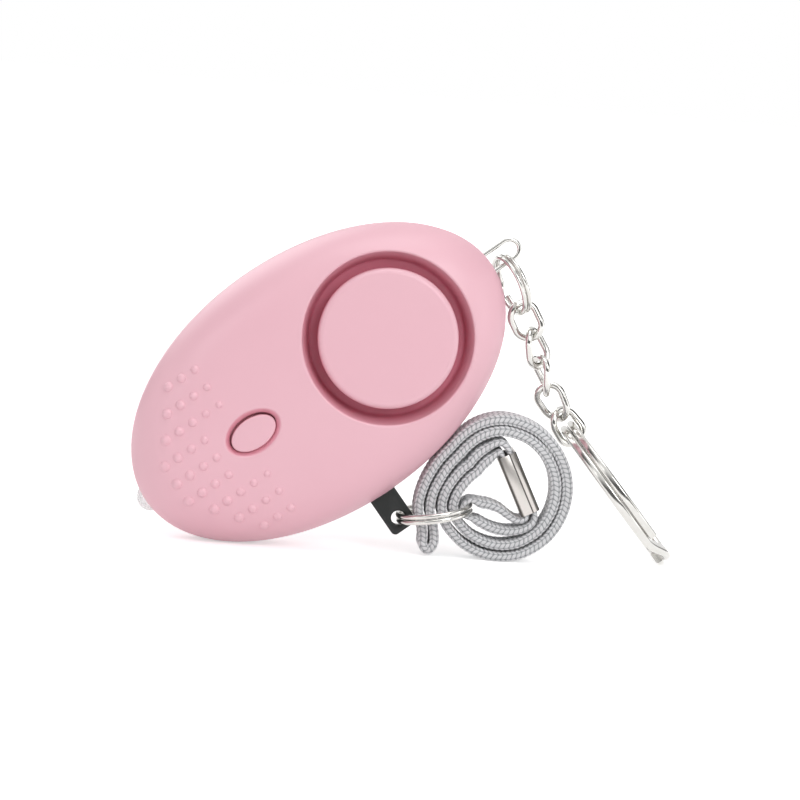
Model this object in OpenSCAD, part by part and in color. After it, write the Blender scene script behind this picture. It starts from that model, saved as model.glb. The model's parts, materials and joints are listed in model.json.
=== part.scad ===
// Personal safety alarm: an oval two-part case with a sounder, a lamp and a pull pin,
// standing on its rim beside its rolled wrist strap, with a key chain on a wire bail.
// Case pieces are drawn in the case's own frame: x along the oval to the bail,
// y across it, z out of the face, with the parting line at z = 0.

/* [Case] */
// Length of the oval case
body_len = 72; // [68:0.5:78]
// Width of the oval case
body_wid = 44.7; // [43:0.1:48]
// Height of the front half above the parting line
front_h = 10.5; // [10:0.1:12]
// Height of the rear half below the parting line
rear_h = 9; // [8.8:0.1:10]
// Wall thickness of both halves
wall = 1.8; // [1.4:0.1:2]

/* [Sounder] */
// Distance of the sounder from the middle of the case
sounder_x = 13.9; // [13:0.1:15]
// Diameter of the sound well in the face
well_d = 29.5; // [28.5:0.1:30.5]
// Diameter of the round cap in the well
cap_d = 24.1; // [22:0.1:25]
// Depth of the well below the top of the face
well_depth = 5.9; // [5.5:0.1:6.2]
// Diameter of the brass sounder plate
piezo_d = 27; // [25:0.5:27.5]

/* [Button and lamp] */
// Distance of the button from the middle of the case
button_x = 14.1; // [13:0.1:15]
// Length of the oval button
button_len = 8.4; // [7.5:0.1:9.5]
// Width of the oval button
button_wid = 5.2; // [4.6:0.1:6]
// How far the button travels
button_travel = 0.5; // [0.3:0.1:0.6]
// Diameter of the lamp
lamp_d = 5; // [4.8:0.1:5.4]
// Diameter of the largest grip dot
dot_d = 1.7; // [1.4:0.1:1.9]

/* [Pull pin] */
// Distance of the pull pin from the middle of the case, towards the lamp
pin_x = 2; // [1:0.5:3]
// Width of the tab
tab_wid = 4.9; // [4.4:0.1:5.2]
// Thickness of the tab
tab_t = 3; // [2.6:0.1:3.2]
// How far the tab stands out of the case
tab_len = 7.3; // [7:0.1:8]
// Length of the blade inside the case
blade_len = 11; // [9:0.5:11.5]

/* [Rings and chain] */
// Wire diameter of the bail
bail_d = 0.8; // [0.7:0.05:0.9]
// How far the bail reaches beyond the case
bail_reach = 6.3; // [6:0.1:7]
// Outer diameter of the small split ring
bail_ring_d = 11.3; // [10.5:0.1:12]
// Wire diameter of the small split rings
ring_wire = 0.85; // [0.7:0.05:0.9]
// Outer diameter of the ring in the tab
pull_ring_d = 13.6; // [13.2:0.1:14]
// Wire diameter of the chain links
link_wire = 1.25; // [1.1:0.05:1.3]
// Length of a chain link
link_len = 7.8; // [7.6:0.1:8.2]
// Width of a chain link
link_wid = 5.9; // [5.8:0.1:6.2]
// Outer diameter of the key ring
key_ring_d = 30; // [28:0.5:32]
// Width of the flat wire of the key ring
key_wire_w = 2.2; // [1.9:0.1:2.3]
// Thickness of one turn of the key ring
key_wire_t = 1.4; // [1.2:0.05:1.45]

/* [Strap] */
// Width of the flat braid
strap_wid = 5.5; // [5:0.1:6]
// Thickness of the braid
strap_t = 1.45; // [1.3:0.05:1.5]
// Thickness of the metal of the crimp
crimp_wall = 0.4; // [0.3:0.05:0.5]

/* [Batteries and screws] */
// Diameter of a button cell
cell_d = 11.6; // [11:0.1:11.8]
// Height of a button cell
cell_h = 5.4; // [5.2:0.1:5.6]
// Thickness of the battery door
door_t = 1.4; // [1.2:0.1:1.6]
// Thread diameter of the case screws
screw_d = 2; // [1.7:0.1:2.2]
// Thickness of the circuit board
board_t = 1.2; // [1:0.1:1.6]

/* [Hidden] */
$fn = 96;
dome_fn = 144;

pink = "#EDBCC7";
nickel = "#C9C8C5";
fit = 0.1;          // clearance round a piece that slides or drops in
touch = 0.05;       // clearance between stacked pieces
run = 0.15;         // clearance between linked wires
ring_run = 0.55;    // clearance of a wire that a small split ring crosses
half_len = body_len / 2;
half_wid = body_wid / 2;

// Pose of the case: it stands on its rim, turned in its plane and leaning back a little
tilt = 39;
lean = 4;
dome_swell = 1.017; // the dome's oval against the rim's
rim_band = sqrt(1 - 1 / pow(dome_swell, 2)); // share of the dome height that stays upright at the rim
front_dome = front_h + 4.5;
rear_dome = rear_h + 2.5;
rear_rim = rear_dome * rim_band;
case_half_h = norm([half_len * sin(tilt), half_wid * cos(tilt)]);
case_half_w = norm([half_len * cos(tilt), half_wid * sin(tilt)]);
case_z = case_half_h * cos(lean) + rear_rim * sin(lean);

// Levels of the stack inside the case, from the back to the front
contact_t = 0.25;
cell_z = -rear_h + door_t + contact_t + touch;
board_z = cell_z + cell_h + touch + contact_t;
board_top = board_z + board_t;
well_floor = front_h - well_depth;
floor_t = 1.2;
gasket_t = 0.5;
plate_t = 0.3;
ceramic_t = 0.25;
plate_z = well_floor - floor_t - gasket_t - plate_t;
cavity_top = front_h - wall - 0.4;
screw_spots = [[-24, 11], [-24, -11], [6, 17], [6, -17]];
boss_d = 4.4;
head_d = 3.8;
head_h = 1.3;
head_z = -5.2;
screw_len = 7.5;
cell_gap = 0.2;
cell_xs = [for (i = [-1:1]) i * (cell_d + cell_gap)];
tray_len = 3 * cell_d + 4 * cell_gap;
tray_wid = cell_d + 2 * cell_gap;
tray_wall = 1.2;
door_ledge = 1;

// The face is three bulges that meet in soft steps: how far each spreads, its height and its centre
shoulder_c = front_h + 2.7;
shoulder_drop = 1.3;
face_c = front_h + 5.5;
bulges = [[dome_swell, front_dome, 0],
          [1.25, shoulder_c, -shoulder_drop],
          [2, face_c, front_h - face_c]];
function oval_share(x, y) = pow(x / half_len, 2) + pow(y / half_wid, 2);
function bulge_z(b, x, y) = b[2] + b[1] * sqrt(1 - oval_share(x, y) / pow(b[0], 2));
function dome_z(x, y) = min([for (b = bulges) bulge_z(b, x, y)]);

// Directions of the case's frame in the model's frame
function turn_z(p, a) = [p.x * cos(a) - p.y * sin(a), p.x * sin(a) + p.y * cos(a), p.z];
function turn_x(p, a) = [p.x, p.y * cos(a) - p.z * sin(a), p.y * sin(a) + p.z * cos(a)];
function case_dir(p) = turn_x(turn_z(p, tilt), 90 - lean);
function unit(v) = v / norm(v);
function smooth(t) = let (c = min(1, max(0, t))) c * c * (3 - 2 * c);

// The chain hangs from the lower leg of the bail; its places are given from the middle of the case
bail_gap = 3.4;
bail_hang = half_len + 2.4;
chain_back = 4;     // the chain drifts back as it falls
bail_ring_fall = -66;
bail_ring_turn = -18;
link_falls = [-60, -68, -72, -58, -50];
link_turns = [90, 40, -10, -60, -110];
link_twist = 20;
ring_pitch = ring_wire + 0.08;
bail_ring_r = (bail_ring_d - ring_wire) / 2;
link_half = (link_len - link_wire) / 2;
link_pitch = 2 * link_half - link_wire - run;
function fall_dir(p, a) = [p.x * cos(a) - p.z * sin(a), p.y, p.x * sin(a) + p.z * cos(a)];
function slope(a) = fall_dir(turn_z([1, 0, 0], chain_back), a);
bail_seat = case_dir([bail_hang, -bail_gap / 2 + bail_d / 2 + ring_wire / 2 + ring_run, 0]);
bail_ring_mid = bail_seat + bail_ring_r * slope(bail_ring_fall);
bail_ring_inside = 2 * bail_ring_r - ring_wire / 2 - link_wire / 2 - ring_run;
link_1_mid = bail_seat + bail_ring_inside * slope(bail_ring_fall) + link_half * slope(link_falls[0]);
link_2_mid = link_1_mid + link_pitch / 2 * (slope(link_falls[0]) + slope(link_falls[1]));
link_3_mid = link_2_mid + link_pitch / 2 * (slope(link_falls[1]) + slope(link_falls[2]));
link_4_mid = link_3_mid + link_pitch / 2 * (slope(link_falls[2]) + slope(link_falls[3]));
link_5_mid = link_4_mid + link_pitch / 2 * (slope(link_falls[3]) + slope(link_falls[4]));
link_mids = [link_1_mid, link_2_mid, link_3_mid, link_4_mid, link_5_mid];
function link_end(k) = link_mids[k] + link_half * slope(link_falls[k]);
function link_bow_dir(k) =
    fall_dir(turn_z(turn_x([0, 1, 0], link_turns[k] + link_twist), chain_back), link_falls[k]);

// The key ring rests its far side on the floor
key_r = (key_ring_d - key_wire_w) / 2;
key_pitch = key_wire_t + 0.08;
key_half_t = (key_pitch + key_wire_t) / 2;
key_round = 0.45;
bow_r = (link_wid - link_wire) / 2;
bow_shift = link_half - bow_r;
// Both turns of the key ring lie across the bow of the last link and rest on its sides
key_drop = sqrt(pow(bow_r - link_wire / 2 - run - key_round, 2) - pow(key_half_t - key_round, 2));
key_seat = link_mids[4] + (bow_shift + key_drop + key_round - key_wire_w / 2) * slope(link_falls[4]);
key_reach = key_r + key_ring_d / 2;
key_fall = asin((key_seat.z + case_z) / norm([key_reach, key_half_t])) - atan(key_half_t / key_reach);
key_mid = key_seat + key_r * fall_dir([1, 0, 0], -key_fall);
key_right = key_mid.x + key_ring_d / 2 * cos(key_fall) + key_half_t * sin(key_fall);

// The box of the object without its strap is centred over the origin, with the floor at z = 0
case_mid = [(case_half_w - key_right) / 2, -key_mid.y, case_z];

// The tab's eye carries a ring that holds the rolled strap
eye_d = 2.5;
eye_out = 5;
eye_y = -half_wid - eye_out;
eye = case_dir([-pin_x, eye_y, 0]);
pull_ring_r = (pull_ring_d - ring_wire) / 2;
pull_ring_rise = 12;
pull_ring_mid = eye + pull_ring_r * fall_dir([1, 0, 0], pull_ring_rise);
roll_from_eye = [16.45, 0, 6.45];
roll_mid = eye + roll_from_eye;

// The doubled strap winds outwards from the crimp: angle and radius of its inner run
roll_turns = [[110, 5.3], [125, 4.8], [141, 4.5], [160, 5], [180, 5.95], [195, 7.1], [207, 8], [220, 8.65],
              [240, 9], [255, 9.35], [270, 9.7], [285, 10.05], [300, 10.3], [320, 10.45], [340, 10.45],
              [360, 10.45], [380, 10.45], [400, 10.4], [420, 10.4], [440, 10.3], [455, 10.15], [470, 9.75],
              [485, 9.2], [501, 8.85], [520, 9.3], [540, 10.35]];
strap_gap = 0.55;
strap_pitch = strap_t + strap_gap;
crimp_low = [6.3, -3.7];
crimp_high = [1.2, 6.2];
crimp_dir = (crimp_high - crimp_low) / norm(crimp_high - crimp_low);
crimp_side = [crimp_dir.y, -crimp_dir.x];
crimp_in = 2.6;
pressed_t = (crimp_in - strap_gap - 2 * run) / 2;
layer_off = (pressed_t + strap_gap) / 2;
crimp_mid = (crimp_low + crimp_high) / 2;
loop_mid = [pull_ring_mid.x - roll_mid.x, pull_ring_mid.z - roll_mid.z]
    + pull_ring_r * [cos(pull_ring_rise), sin(pull_ring_rise)];
loop_t = 0.85;
loop_r = norm([ring_wire / 2, (ring_pitch + ring_wire) / 2]) + run + loop_t / 2;
fold = [[-11.05, -2.4], [-11.1, -4.9], [-10.4, -7], [-10, -9], [-10.1, -10.5], [-11, -11.5],
        [-11.9, -10.5], [-11.95, -9], [-12.4, -7], [-13.1, -4.9], [-13.05, -2.4]];
low_run = [[7.1, -4.6], [6.55, -5.8], [5.2, -6.7], [3.3, -7.2], [1.2, -7.2], [-0.8, -6.7], [-2.6, -5.9]];
high_run = [[-2.4, -2.7], [-0.8, -2.9], [1, -3.5], [2.7, -4.6], [4, -5.15], [5.15, -5]];
inner_start = [[0.1, 6.55], [-0.75, 6]];
outer_start = [[1.2, 7.6], [0.1, 8.2], [-1.3, 7.75]];
last_turn = len(roll_turns) - 1;
inner_turns = [for (q = roll_turns) q[1] * [cos(q[0]), sin(q[0])]];
function turn_side(k) =
    let (d = inner_turns[min(last_turn, k + 1)] - inner_turns[max(0, k - 1)]) [d.y, -d.x] / norm(d);
outer_turns = [for (k = [0:last_turn]) inner_turns[k] + strap_pitch * turn_side(k)];
end_gap = 0.75;
// Each row is a point of the route, in the plane of the roll, and the braid's thickness there
strap_route = concat(
    [[crimp_mid + layer_off * crimp_side - end_gap * crimp_dir, pressed_t],
     [crimp_low + layer_off * crimp_side + 2 * crimp_dir, pressed_t],
     [crimp_low + layer_off * crimp_side, pressed_t]],
    [for (i = [0:len(low_run) - 1]) [low_run[i], min(strap_t, 1 + 0.1 * i)]],
    [for (a = [-90:-30:-270]) [loop_mid + loop_r * [cos(a), sin(a)], loop_t]],
    [for (i = [0:len(high_run) - 1]) [high_run[i], min(strap_t, 1 + 0.1 * (len(high_run) - 1 - i))]],
    [for (s = [0:0.25:1]) [crimp_low - layer_off * crimp_side + s * (crimp_high - crimp_low), pressed_t]],
    [for (p = inner_start) [p, 1]],
    [for (p = inner_turns) [p, strap_t]],
    [for (p = fold) [p, strap_t]],
    [for (k = [last_turn:-1:0]) [outer_turns[k], strap_t]],
    [for (i = [len(outer_start) - 1:-1:0]) [outer_start[i], 1.1]],
    [[crimp_high + layer_off * crimp_side, pressed_t],
     [crimp_high + layer_off * crimp_side - 2 * crimp_dir, pressed_t],
     [crimp_mid + layer_off * crimp_side + end_gap * crimp_dir, pressed_t]]);

// A swept solid from rings of points, open with two ends or closed on itself
function sweep_faces(rings, sides, closed) = concat(
    [for (i = [0:rings - (closed ? 1 : 2)]) for (j = [0:sides - 1])
        let (a = i * sides + j, b = i * sides + (j + 1) % sides,
             c = ((i + 1) % rings) * sides + j, d = ((i + 1) % rings) * sides + (j + 1) % sides)
        each [[a, c, b], [b, c, d]]],
    closed ? [] : concat([for (j = [1:sides - 2]) [0, j, j + 1]],
        [for (j = [1:sides - 2]) let (e = (rings - 1) * sides) [e, e + j + 1, e + j]]));
module sweep(rings, closed = false) {
    polyhedron([for (r = rings) each r], sweep_faces(len(rings), len(rings[0]), closed));
}
wire_sides = 8;
function round_section(d) =
    [for (j = [0:wire_sides - 1]) d / 2 * [cos(j * 360 / wire_sides), sin(j * 360 / wire_sides)]];
function flat_section(w, t, r) =
    [[w / 2, t / 2 - r], [w / 2 - r, t / 2], [r - w / 2, t / 2], [-w / 2, t / 2 - r],
     [-w / 2, r - t / 2], [r - w / 2, -t / 2], [w / 2 - r, -t / 2], [w / 2, r - t / 2]];

// Two turns of wire in the xy plane with a short jog from one to the other
coil_steps = 24;
jog = 30;
function coil_height(a, pitch) = (smooth((a - 360) / jog) - 0.5) * pitch;
module split_ring(r, pitch, section) {
    angles = [for (i = [0:coil_steps]) jog + i * (360 - jog) / coil_steps,
              for (i = [1:coil_steps + 2]) 360 + i * 360 / (coil_steps + 2)];
    sweep([for (a = angles) [for (s = section)
        [(r + s.x) * cos(a), (r + s.x) * sin(a), coil_height(a, pitch) - s.y]]]);
}

// A closed link along x, twisted about x so that its two bows are turned apart
bow_steps = 12;
module chain_link(turn) {
    stations = [for (s = [1, -1]) for (i = [0:bow_steps - 1])
        let (a = (s > 0 ? -90 : 90) + i * 180 / (bow_steps - 1)) [a, s]];
    sweep([for (q = stations)
        let (p = [bow_r * cos(q[0]) + q[1] * bow_shift, bow_r * sin(q[0])])
        [for (c = round_section(link_wire))
            let (v = [p.x + c.x * cos(q[0]), p.y + c.x * sin(q[0]), -c.y])
            turn_x(v, turn + link_twist * p.x / link_half)]], true);
}

// Points along the strap, by a curve through the route's points
function curve(p0, p1, p2, p3, t) = 0.5 * (2 * p1 + (p2 - p0) * t + (2 * p0 - 5 * p1 + 4 * p2 - p3) * t * t
    + (3 * p1 - p0 - 3 * p2 + p3) * t * t * t);
strap_steps = 2;
strap_last = len(strap_route) - 1;
function route_at(i) = strap_route[min(strap_last, max(0, i))];
function route_curve(i, t) =
    [curve(route_at(i - 1)[0], route_at(i)[0], route_at(i + 1)[0], route_at(i + 2)[0], t),
    route_at(i)[1] + (route_at(i + 1)[1] - route_at(i)[1]) * t];
strap_line = [for (i = [0:strap_last - 1]) for (s = [0:strap_steps - 1]) route_curve(i, s / strap_steps),
              strap_route[strap_last]];
strap_count = len(strap_line);
function line_dir(i) = unit(strap_line[min(strap_count - 1, i + 1)][0] - strap_line[max(0, i - 1)][0]);
strap_far = [for (i = 0, s = 0; i < strap_count; i = i + 1,
    s = i < strap_count ? s + norm(strap_line[i][0] - strap_line[i - 1][0]) : s) s];
strap_length = strap_far[strap_count - 1];
near_run = 4.5;
strap_clear = min([for (i = [0:strap_count - 1]) for (j = [i + 1:1:strap_count - 1])
    if (strap_far[j] - strap_far[i] > near_run)
        norm(strap_line[i][0] - strap_line[j][0]) - (strap_line[i][1] + strap_line[j][1]) / 2]);
echo(strap_length = strap_length, strap_clear = strap_clear);

module place_case() {
    translate(case_mid) rotate([90 - lean, 0, 0]) rotate([0, 0, tilt]) children();
}
module oval(len, wid, h) {
    scale([1, wid / len, 1]) cylinder(d = len, h = h, $fn = dome_fn);
}
module bulge(swell, h) {
    scale([half_len * swell, half_wid * swell, h]) sphere(r = 1, $fn = dome_fn);
}
module front_dome() {
    intersection() {
        oval(body_len, body_wid, front_h + 1);
        intersection_for(b = bulges) translate([0, 0, b[2]]) bulge(b[0], b[1]);
    }
}
module rear_dome() {
    intersection() {
        translate([0, 0, -rear_h]) oval(body_len, body_wid, rear_h);
        bulge(dome_swell, rear_dome);
    }
}
module inner_oval(h) {
    oval(body_len - 2 * wall, body_wid - 2 * wall, h);
}
module inner_bulge(h) {
    scale([half_len * dome_swell - wall, half_wid * dome_swell - wall, h]) sphere(r = 1, $fn = dome_fn);
}

// Openings that both halves share at the parting line
bail_foot = 3;
bail_foot_x = half_len - wall - 2.4;
socket_wid = 6.4;
socket_h = 5;
slot_depth = 3.4;
module shared_cuts() {
    translate([-half_len - 1, 0, 0]) rotate([0, 90, 0]) cylinder(d = lamp_d + 2 * fit, h = wall + 4);
    translate([-pin_x, -half_wid, 0])
        cube([tab_wid + 2 * fit, 2 * slot_depth, tab_t + 2 * fit], center = true);
    for (s = [1, -1]) translate([bail_foot_x, s * bail_gap / 2, 0])
        rotate([0, 90, 0]) cylinder(d = bail_d + 2 * touch, h = wall + 4);
}

dot_cols = 6;
dot_rows = 4;
dot_x = -29.8;
dot_step_x = 2.73;
dot_step_y = 3.6;
dot_shrink = 0.06;
dot_rise = 0.3;
module grip_dots() {
    for (i = [-dot_rows:dot_rows]) for (c = [max(0, abs(i) - 1):dot_cols - 1])
        if (c <= 3 || abs(i) >= 2) {
            d = dot_d * (1 - dot_shrink * (c - max(0, abs(i) - 1)) - 0.02 * c);
            x = dot_x + c * dot_step_x;
            y = i * dot_step_y;
            ball = (d * d / 4 + dot_rise * dot_rise) / (2 * dot_rise);
            translate([x, y, dome_z(x, y) + dot_rise - ball]) sphere(r = ball, $fn = 32);
        }
}

cup_wall = 1.4;
slot_count = 6;
slot_span = 44;
peg_d = 3;
flange_rim = 0.8;
flange_t = 0.8;
module front_shell() color(pink) place_case() {
    difference() {
        union() {
            front_dome();
            grip_dots();
        }
        difference() {
            intersection() {
                translate([0, 0, -1]) inner_oval(cavity_top + 1);
                inner_bulge(front_dome - wall);
            }
            translate([sounder_x, 0, well_floor - floor_t])
                cylinder(d = well_d + 2 * cup_wall, h = well_depth + floor_t);
            for (p = screw_spots) translate([p.x, p.y, touch]) cylinder(d = boss_d, h = front_h);
        }
        translate([sounder_x, 0, well_floor]) cylinder(d = well_d, h = front_h);
        translate([sounder_x, 0, 0]) cylinder(d = peg_d + 2 * touch, h = front_h);
        for (k = [0:slot_count - 1]) translate([sounder_x, 0, well_floor - floor_t - 1])
            rotate([0, 0, k * 360 / slot_count - slot_span / 2])
                rotate_extrude(angle = slot_span)
                    translate([cap_d / 2 - 3.2, 0]) square([3, floor_t + 2]);
        translate([-button_x, 0, 0]) oval(button_len + 2 * fit, button_wid + 2 * fit, front_h + 1);
        translate([-button_x, 0, dome_z(-button_x, 0)])
            scale([button_len / 2 + 1.1, button_wid / 2 + 1.1, 1.2]) sphere(r = 1);
        for (p = screw_spots) translate([p.x, p.y, 0])
            cylinder(d = screw_d - 0.3, h = screw_len + head_z + 0.6);
        shared_cuts();
    }
}

door_len = tray_len + 2 * door_ledge + 4;
door_wid = tray_wid + 2 * door_ledge;
door_r = 2;
door_x = 1;
door_screw_x = door_x + door_len / 2 - 2.6;
module rounded_plate(l, w, h, r) {
    linear_extrude(h) union() {
        square([l - 2 * r, w], center = true);
        square([l, w - 2 * r], center = true);
        for (sx = [1, -1]) for (sy = [1, -1])
            translate([sx * (l / 2 - r), sy * (w / 2 - r)]) circle(r = r, $fn = 48);
    }
}
module rear_shell() color(pink) place_case() {
    difference() {
        union() {
            difference() {
                rear_dome();
                intersection() {
                    translate([0, 0, -rear_h + wall]) inner_oval(rear_h);
                    inner_bulge(rear_dome - wall);
                }
            }
            intersection() {
                rear_dome();
                union() {
                    for (p = screw_spots) translate([p.x, p.y, -rear_h])
                        cylinder(d = boss_d + 0.8, h = rear_h);
                    translate([0, 0, (board_z - rear_h) / 2])
                        cube([tray_len + 2 * tray_wall, tray_wid + 2 * tray_wall, board_z + rear_h],
                             center = true);
                    translate([door_screw_x, 0, -rear_h]) cylinder(d = boss_d, h = rear_h + board_z);
                }
            }
        }
        translate([0, 0, (board_z - rear_h) / 2]) cube([tray_len, tray_wid, 2 * rear_h], center = true);
        translate([door_x, 0, -rear_h - 1])
            rounded_plate(door_len + 2 * fit, door_wid + 2 * fit, door_t + 1, door_r + fit);
        translate([door_screw_x, 0, -rear_h]) cylinder(d = screw_d - 0.3, h = rear_h + board_z - 0.8);
        for (p = screw_spots) translate([p.x, p.y, -rear_h - 1]) {
            cylinder(d = screw_d + 2 * fit, h = rear_h + 2);
            cylinder(d = head_d + 4 * fit, h = rear_h + 1 + head_z);
        }
        shared_cuts();
    }
}
door_head_t = 0.7;
module battery_door() color(pink) place_case() {
    difference() {
        intersection() {
            rear_dome();
            translate([door_x, 0, -rear_h]) rounded_plate(door_len, door_wid, door_t, door_r);
        }
        translate([door_screw_x, 0, -rear_h - 1]) cylinder(d = screw_d + 2 * fit, h = door_t + 2);
        translate([door_screw_x, 0, -rear_h - 1]) cylinder(d = head_d + 2 * fit, h = 1 + door_head_t);
    }
}
module screw(len, head) {
    difference() {
        union() {
            cylinder(d = screw_d - 0.3 - 2 * touch, h = len);
            translate([0, 0, -head]) cylinder(d = head_d, h = head);
        }
        translate([0, 0, -head]) cube([head_d * 0.7, 0.5, head], center = true);
        translate([0, 0, -head]) cube([0.5, head_d * 0.7, head], center = true);
    }
}
module door_screw() color("silver") place_case() {
    translate([door_screw_x, 0, -rear_h + door_head_t])
        screw(rear_h + board_z - door_head_t - 1.2, door_head_t);
}
module case_screws() color("silver") place_case() {
    for (p = screw_spots) translate([p.x, p.y, head_z]) screw(screw_len, head_h);
}

cap_edge = 1;
cap_t = 2.2;
cap_top = front_h - 0.7;
cap_crown = 0.25;
stem_d = 8;
module sounder_cap() color(pink) place_case() translate([sounder_x, 0, 0]) {
    rotate_extrude() {
        translate([0, cap_top - cap_t]) square([cap_d / 2, cap_t - cap_edge]);
        translate([0, cap_top - cap_edge]) square([cap_d / 2 - cap_edge, cap_edge]);
        translate([cap_d / 2 - cap_edge, cap_top - cap_edge]) circle(r = cap_edge, $fn = 48);
        translate([0, well_floor]) square([stem_d / 2, cap_top - cap_t - well_floor + 0.5]);
        translate([0, well_floor - floor_t]) square([peg_d / 2, floor_t + 0.5]);
    }
}
module plate_ring(d_out, d_in, z, h) {
    translate([sounder_x, 0, z]) difference() {
        cylinder(d = d_out, h = h);
        translate([0, 0, -1]) cylinder(d = d_in, h = h + 2);
    }
}
retainer_d = piezo_d + 2;
module sounder_gasket() color("dimgray") place_case()
    plate_ring(piezo_d, piezo_d - 4, plate_z + plate_t, gasket_t);
module piezo_disc() color("goldenrod") place_case()
    translate([sounder_x, 0, plate_z]) cylinder(d = piezo_d, h = plate_t);
module piezo_ceramic() color("whitesmoke") place_case()
    translate([sounder_x, 0, plate_z - ceramic_t]) cylinder(d = piezo_d - 7, h = ceramic_t);
module sounder_retainer() color("black") place_case() {
    plate_ring(retainer_d, piezo_d - 2.4, board_top, plate_z - board_top);
    plate_ring(retainer_d, piezo_d + 2 * fit, plate_z - 0.2, plate_t + gasket_t + 0.2);
}

button_top = dome_z(-button_x, 0) - 0.1;
flange_top = cavity_top - touch;
switch_side = 6;
switch_h = 3.5;
plunger_d = 3.4;
plunger_up = 0.9;
plunger_in = 0.4;
switch_top = board_top + switch_h;
module led_button() color(pink) place_case() translate([-button_x, 0, 0]) {
    translate([0, 0, flange_top - flange_t])
        oval(button_len + 2 * flange_rim, button_wid + 2 * flange_rim, flange_t);
    translate([0, 0, flange_top - 0.2]) oval(button_len, button_wid, button_top - flange_top + 0.2);
    translate([0, 0, switch_top + plunger_up])
        cylinder(d = 2.6, h = flange_top - switch_top - plunger_up - 0.2);
}
module switch_plunger() color("black") place_case()
    translate([-button_x, 0, switch_top - plunger_in]) cylinder(d = plunger_d, h = plunger_up + plunger_in);
module button_switch() color("silver") place_case() difference() {
    translate([-button_x, 0, board_top + switch_h / 2])
        cube([switch_side, switch_side, switch_h], center = true);
    translate([-button_x, 0, switch_top - plunger_in - button_travel - fit])
        cylinder(d = plunger_d + 2 * fit, h = switch_h);
}
lamp_out = 1.5;
lamp_body = 5.2;
lamp_rim = 0.4;
lamp_mid = -half_len - lamp_out + lamp_d / 2;
module led_lamp() color("white", 0.6) place_case() rotate([0, 90, 0]) {
    translate([0, 0, lamp_mid]) {
        sphere(d = lamp_d);
        cylinder(d = lamp_d, h = lamp_body);
        translate([0, 0, lamp_body - 1]) cylinder(d = lamp_d + 2 * lamp_rim, h = 1);
    }
}
lead_d = 0.5;
lead_gap = 2.54;
module led_leads() color("silver") place_case()
    for (s = [1, -1]) translate([lamp_mid + lamp_body, s * lead_gap / 2, board_top + lead_d / 2])
        rotate([0, 90, 0]) cylinder(d = lead_d, h = 5, $fn = 24);

board_x = 1;
board_len = 56;
board_wid = 33;
socket_y = -half_wid + slot_depth - 0.8;
socket_len = blade_len + 1.4;
module circuit_board() color("#2E6B3F") place_case() difference() {
    translate([board_x, 0, board_z]) oval(board_len, board_wid, board_t);
    for (p = screw_spots) translate([p.x, p.y, board_z - 1]) cylinder(d = boss_d + 1, h = board_t + 2);
    translate([-pin_x, socket_y + socket_len / 2, board_z + board_t / 2])
        cube([socket_wid + 2 * fit, socket_len + 2 * fit, board_t + 2], center = true);
}
chip_size = [5, 4, 1.4];
parts_y = 9.5;      // row of the driver parts on the board
chip_x = -6;
module driver_chip() color("#202225") place_case()
    translate([chip_x, parts_y, board_top + chip_size.z / 2]) cube(chip_size, center = true);
coil_x = -13;
coil_d = 7;
coil_h = 5;
coil_flange = 0.8;
coil_groove = 0.6;
module boost_coil() color("#3A3A3C") place_case() translate([coil_x, parts_y, board_top]) {
    difference() {
        cylinder(d = coil_d, h = coil_h);
        translate([0, 0, coil_flange]) difference() {
            cylinder(d = 1.2 * coil_d, h = coil_h - 2 * coil_flange);
            cylinder(d = coil_d - 2 * coil_groove, h = coil_h);
        }
    }
}
module battery_cells() color("silver") place_case() for (x = cell_xs) translate([x, 0, cell_z]) {
    cylinder(d = cell_d - 2, h = 1);
    translate([0, 0, 0.4]) cylinder(d = cell_d, h = cell_h - 0.4);
}
contact_wid = 7;
module cell_contacts() color("goldenrod") place_case() {
    translate([-cell_xs[2] / 2, 0, board_z - contact_t / 2])
        cube([cell_d + contact_wid, contact_wid, contact_t], center = true);
    translate([cell_xs[2], 0, board_z - contact_t / 2])
        cube([contact_wid, contact_wid, contact_t], center = true);
}
module door_contacts() color("goldenrod") place_case() {
    translate([cell_xs[2] / 2, 0, -rear_h + door_t + contact_t / 2])
        cube([cell_d + contact_wid, contact_wid, contact_t], center = true);
    translate([cell_xs[0], 0, -rear_h + door_t + contact_t / 2])
        cube([contact_wid, contact_wid, contact_t], center = true);
}

blade_wid = 3;
blade_t = 1.2;
leaf_t = 0.25;
module pin_socket() color("ivory") place_case() difference() {
    translate([-pin_x, socket_y + socket_len / 2, 0])
        cube([socket_wid, socket_len, socket_h], center = true);
    translate([-pin_x, socket_y + socket_len / 2 - 1, 0])
        cube([blade_wid + 2 * fit, socket_len, blade_t + 2 * leaf_t + 4 * fit], center = true);
}
module switch_leaves() color("goldenrod") place_case() for (s = [1, -1])
    translate([-pin_x, socket_y + socket_len / 2 - 0.2, s * (blade_t / 2 + fit + leaf_t / 2)])
        cube([blade_wid - 0.4, socket_len - 2.4, leaf_t], center = true);
tab_r = 1.5;
tab_in = 2;
module pull_pin() color("#1B1F1E") place_case() translate([-pin_x, 0, 0]) {
    difference() {
        translate([0, -half_wid - tab_len, -tab_t / 2]) linear_extrude(tab_t) {
            translate([-tab_wid / 2, tab_r]) square([tab_wid, tab_len - tab_r + tab_in]);
            translate([tab_r - tab_wid / 2, 0]) square([tab_wid - 2 * tab_r, tab_len]);
            for (s = [1, -1]) translate([s * (tab_wid / 2 - tab_r), tab_r]) circle(r = tab_r);
        }
        translate([0, eye_y, -tab_t]) cylinder(d = eye_d, h = 2 * tab_t);
    }
    translate([0, -half_wid + tab_in - 0.2 + blade_len / 2, 0])
        cube([blade_wid, blade_len, blade_t], center = true);
}
module pull_ring() color(nickel)
    translate(case_mid + pull_ring_mid) rotate([0, -pull_ring_rise, 0]) rotate([0, 0, 250])
    split_ring(pull_ring_r, ring_pitch, round_section(ring_wire));

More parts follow.
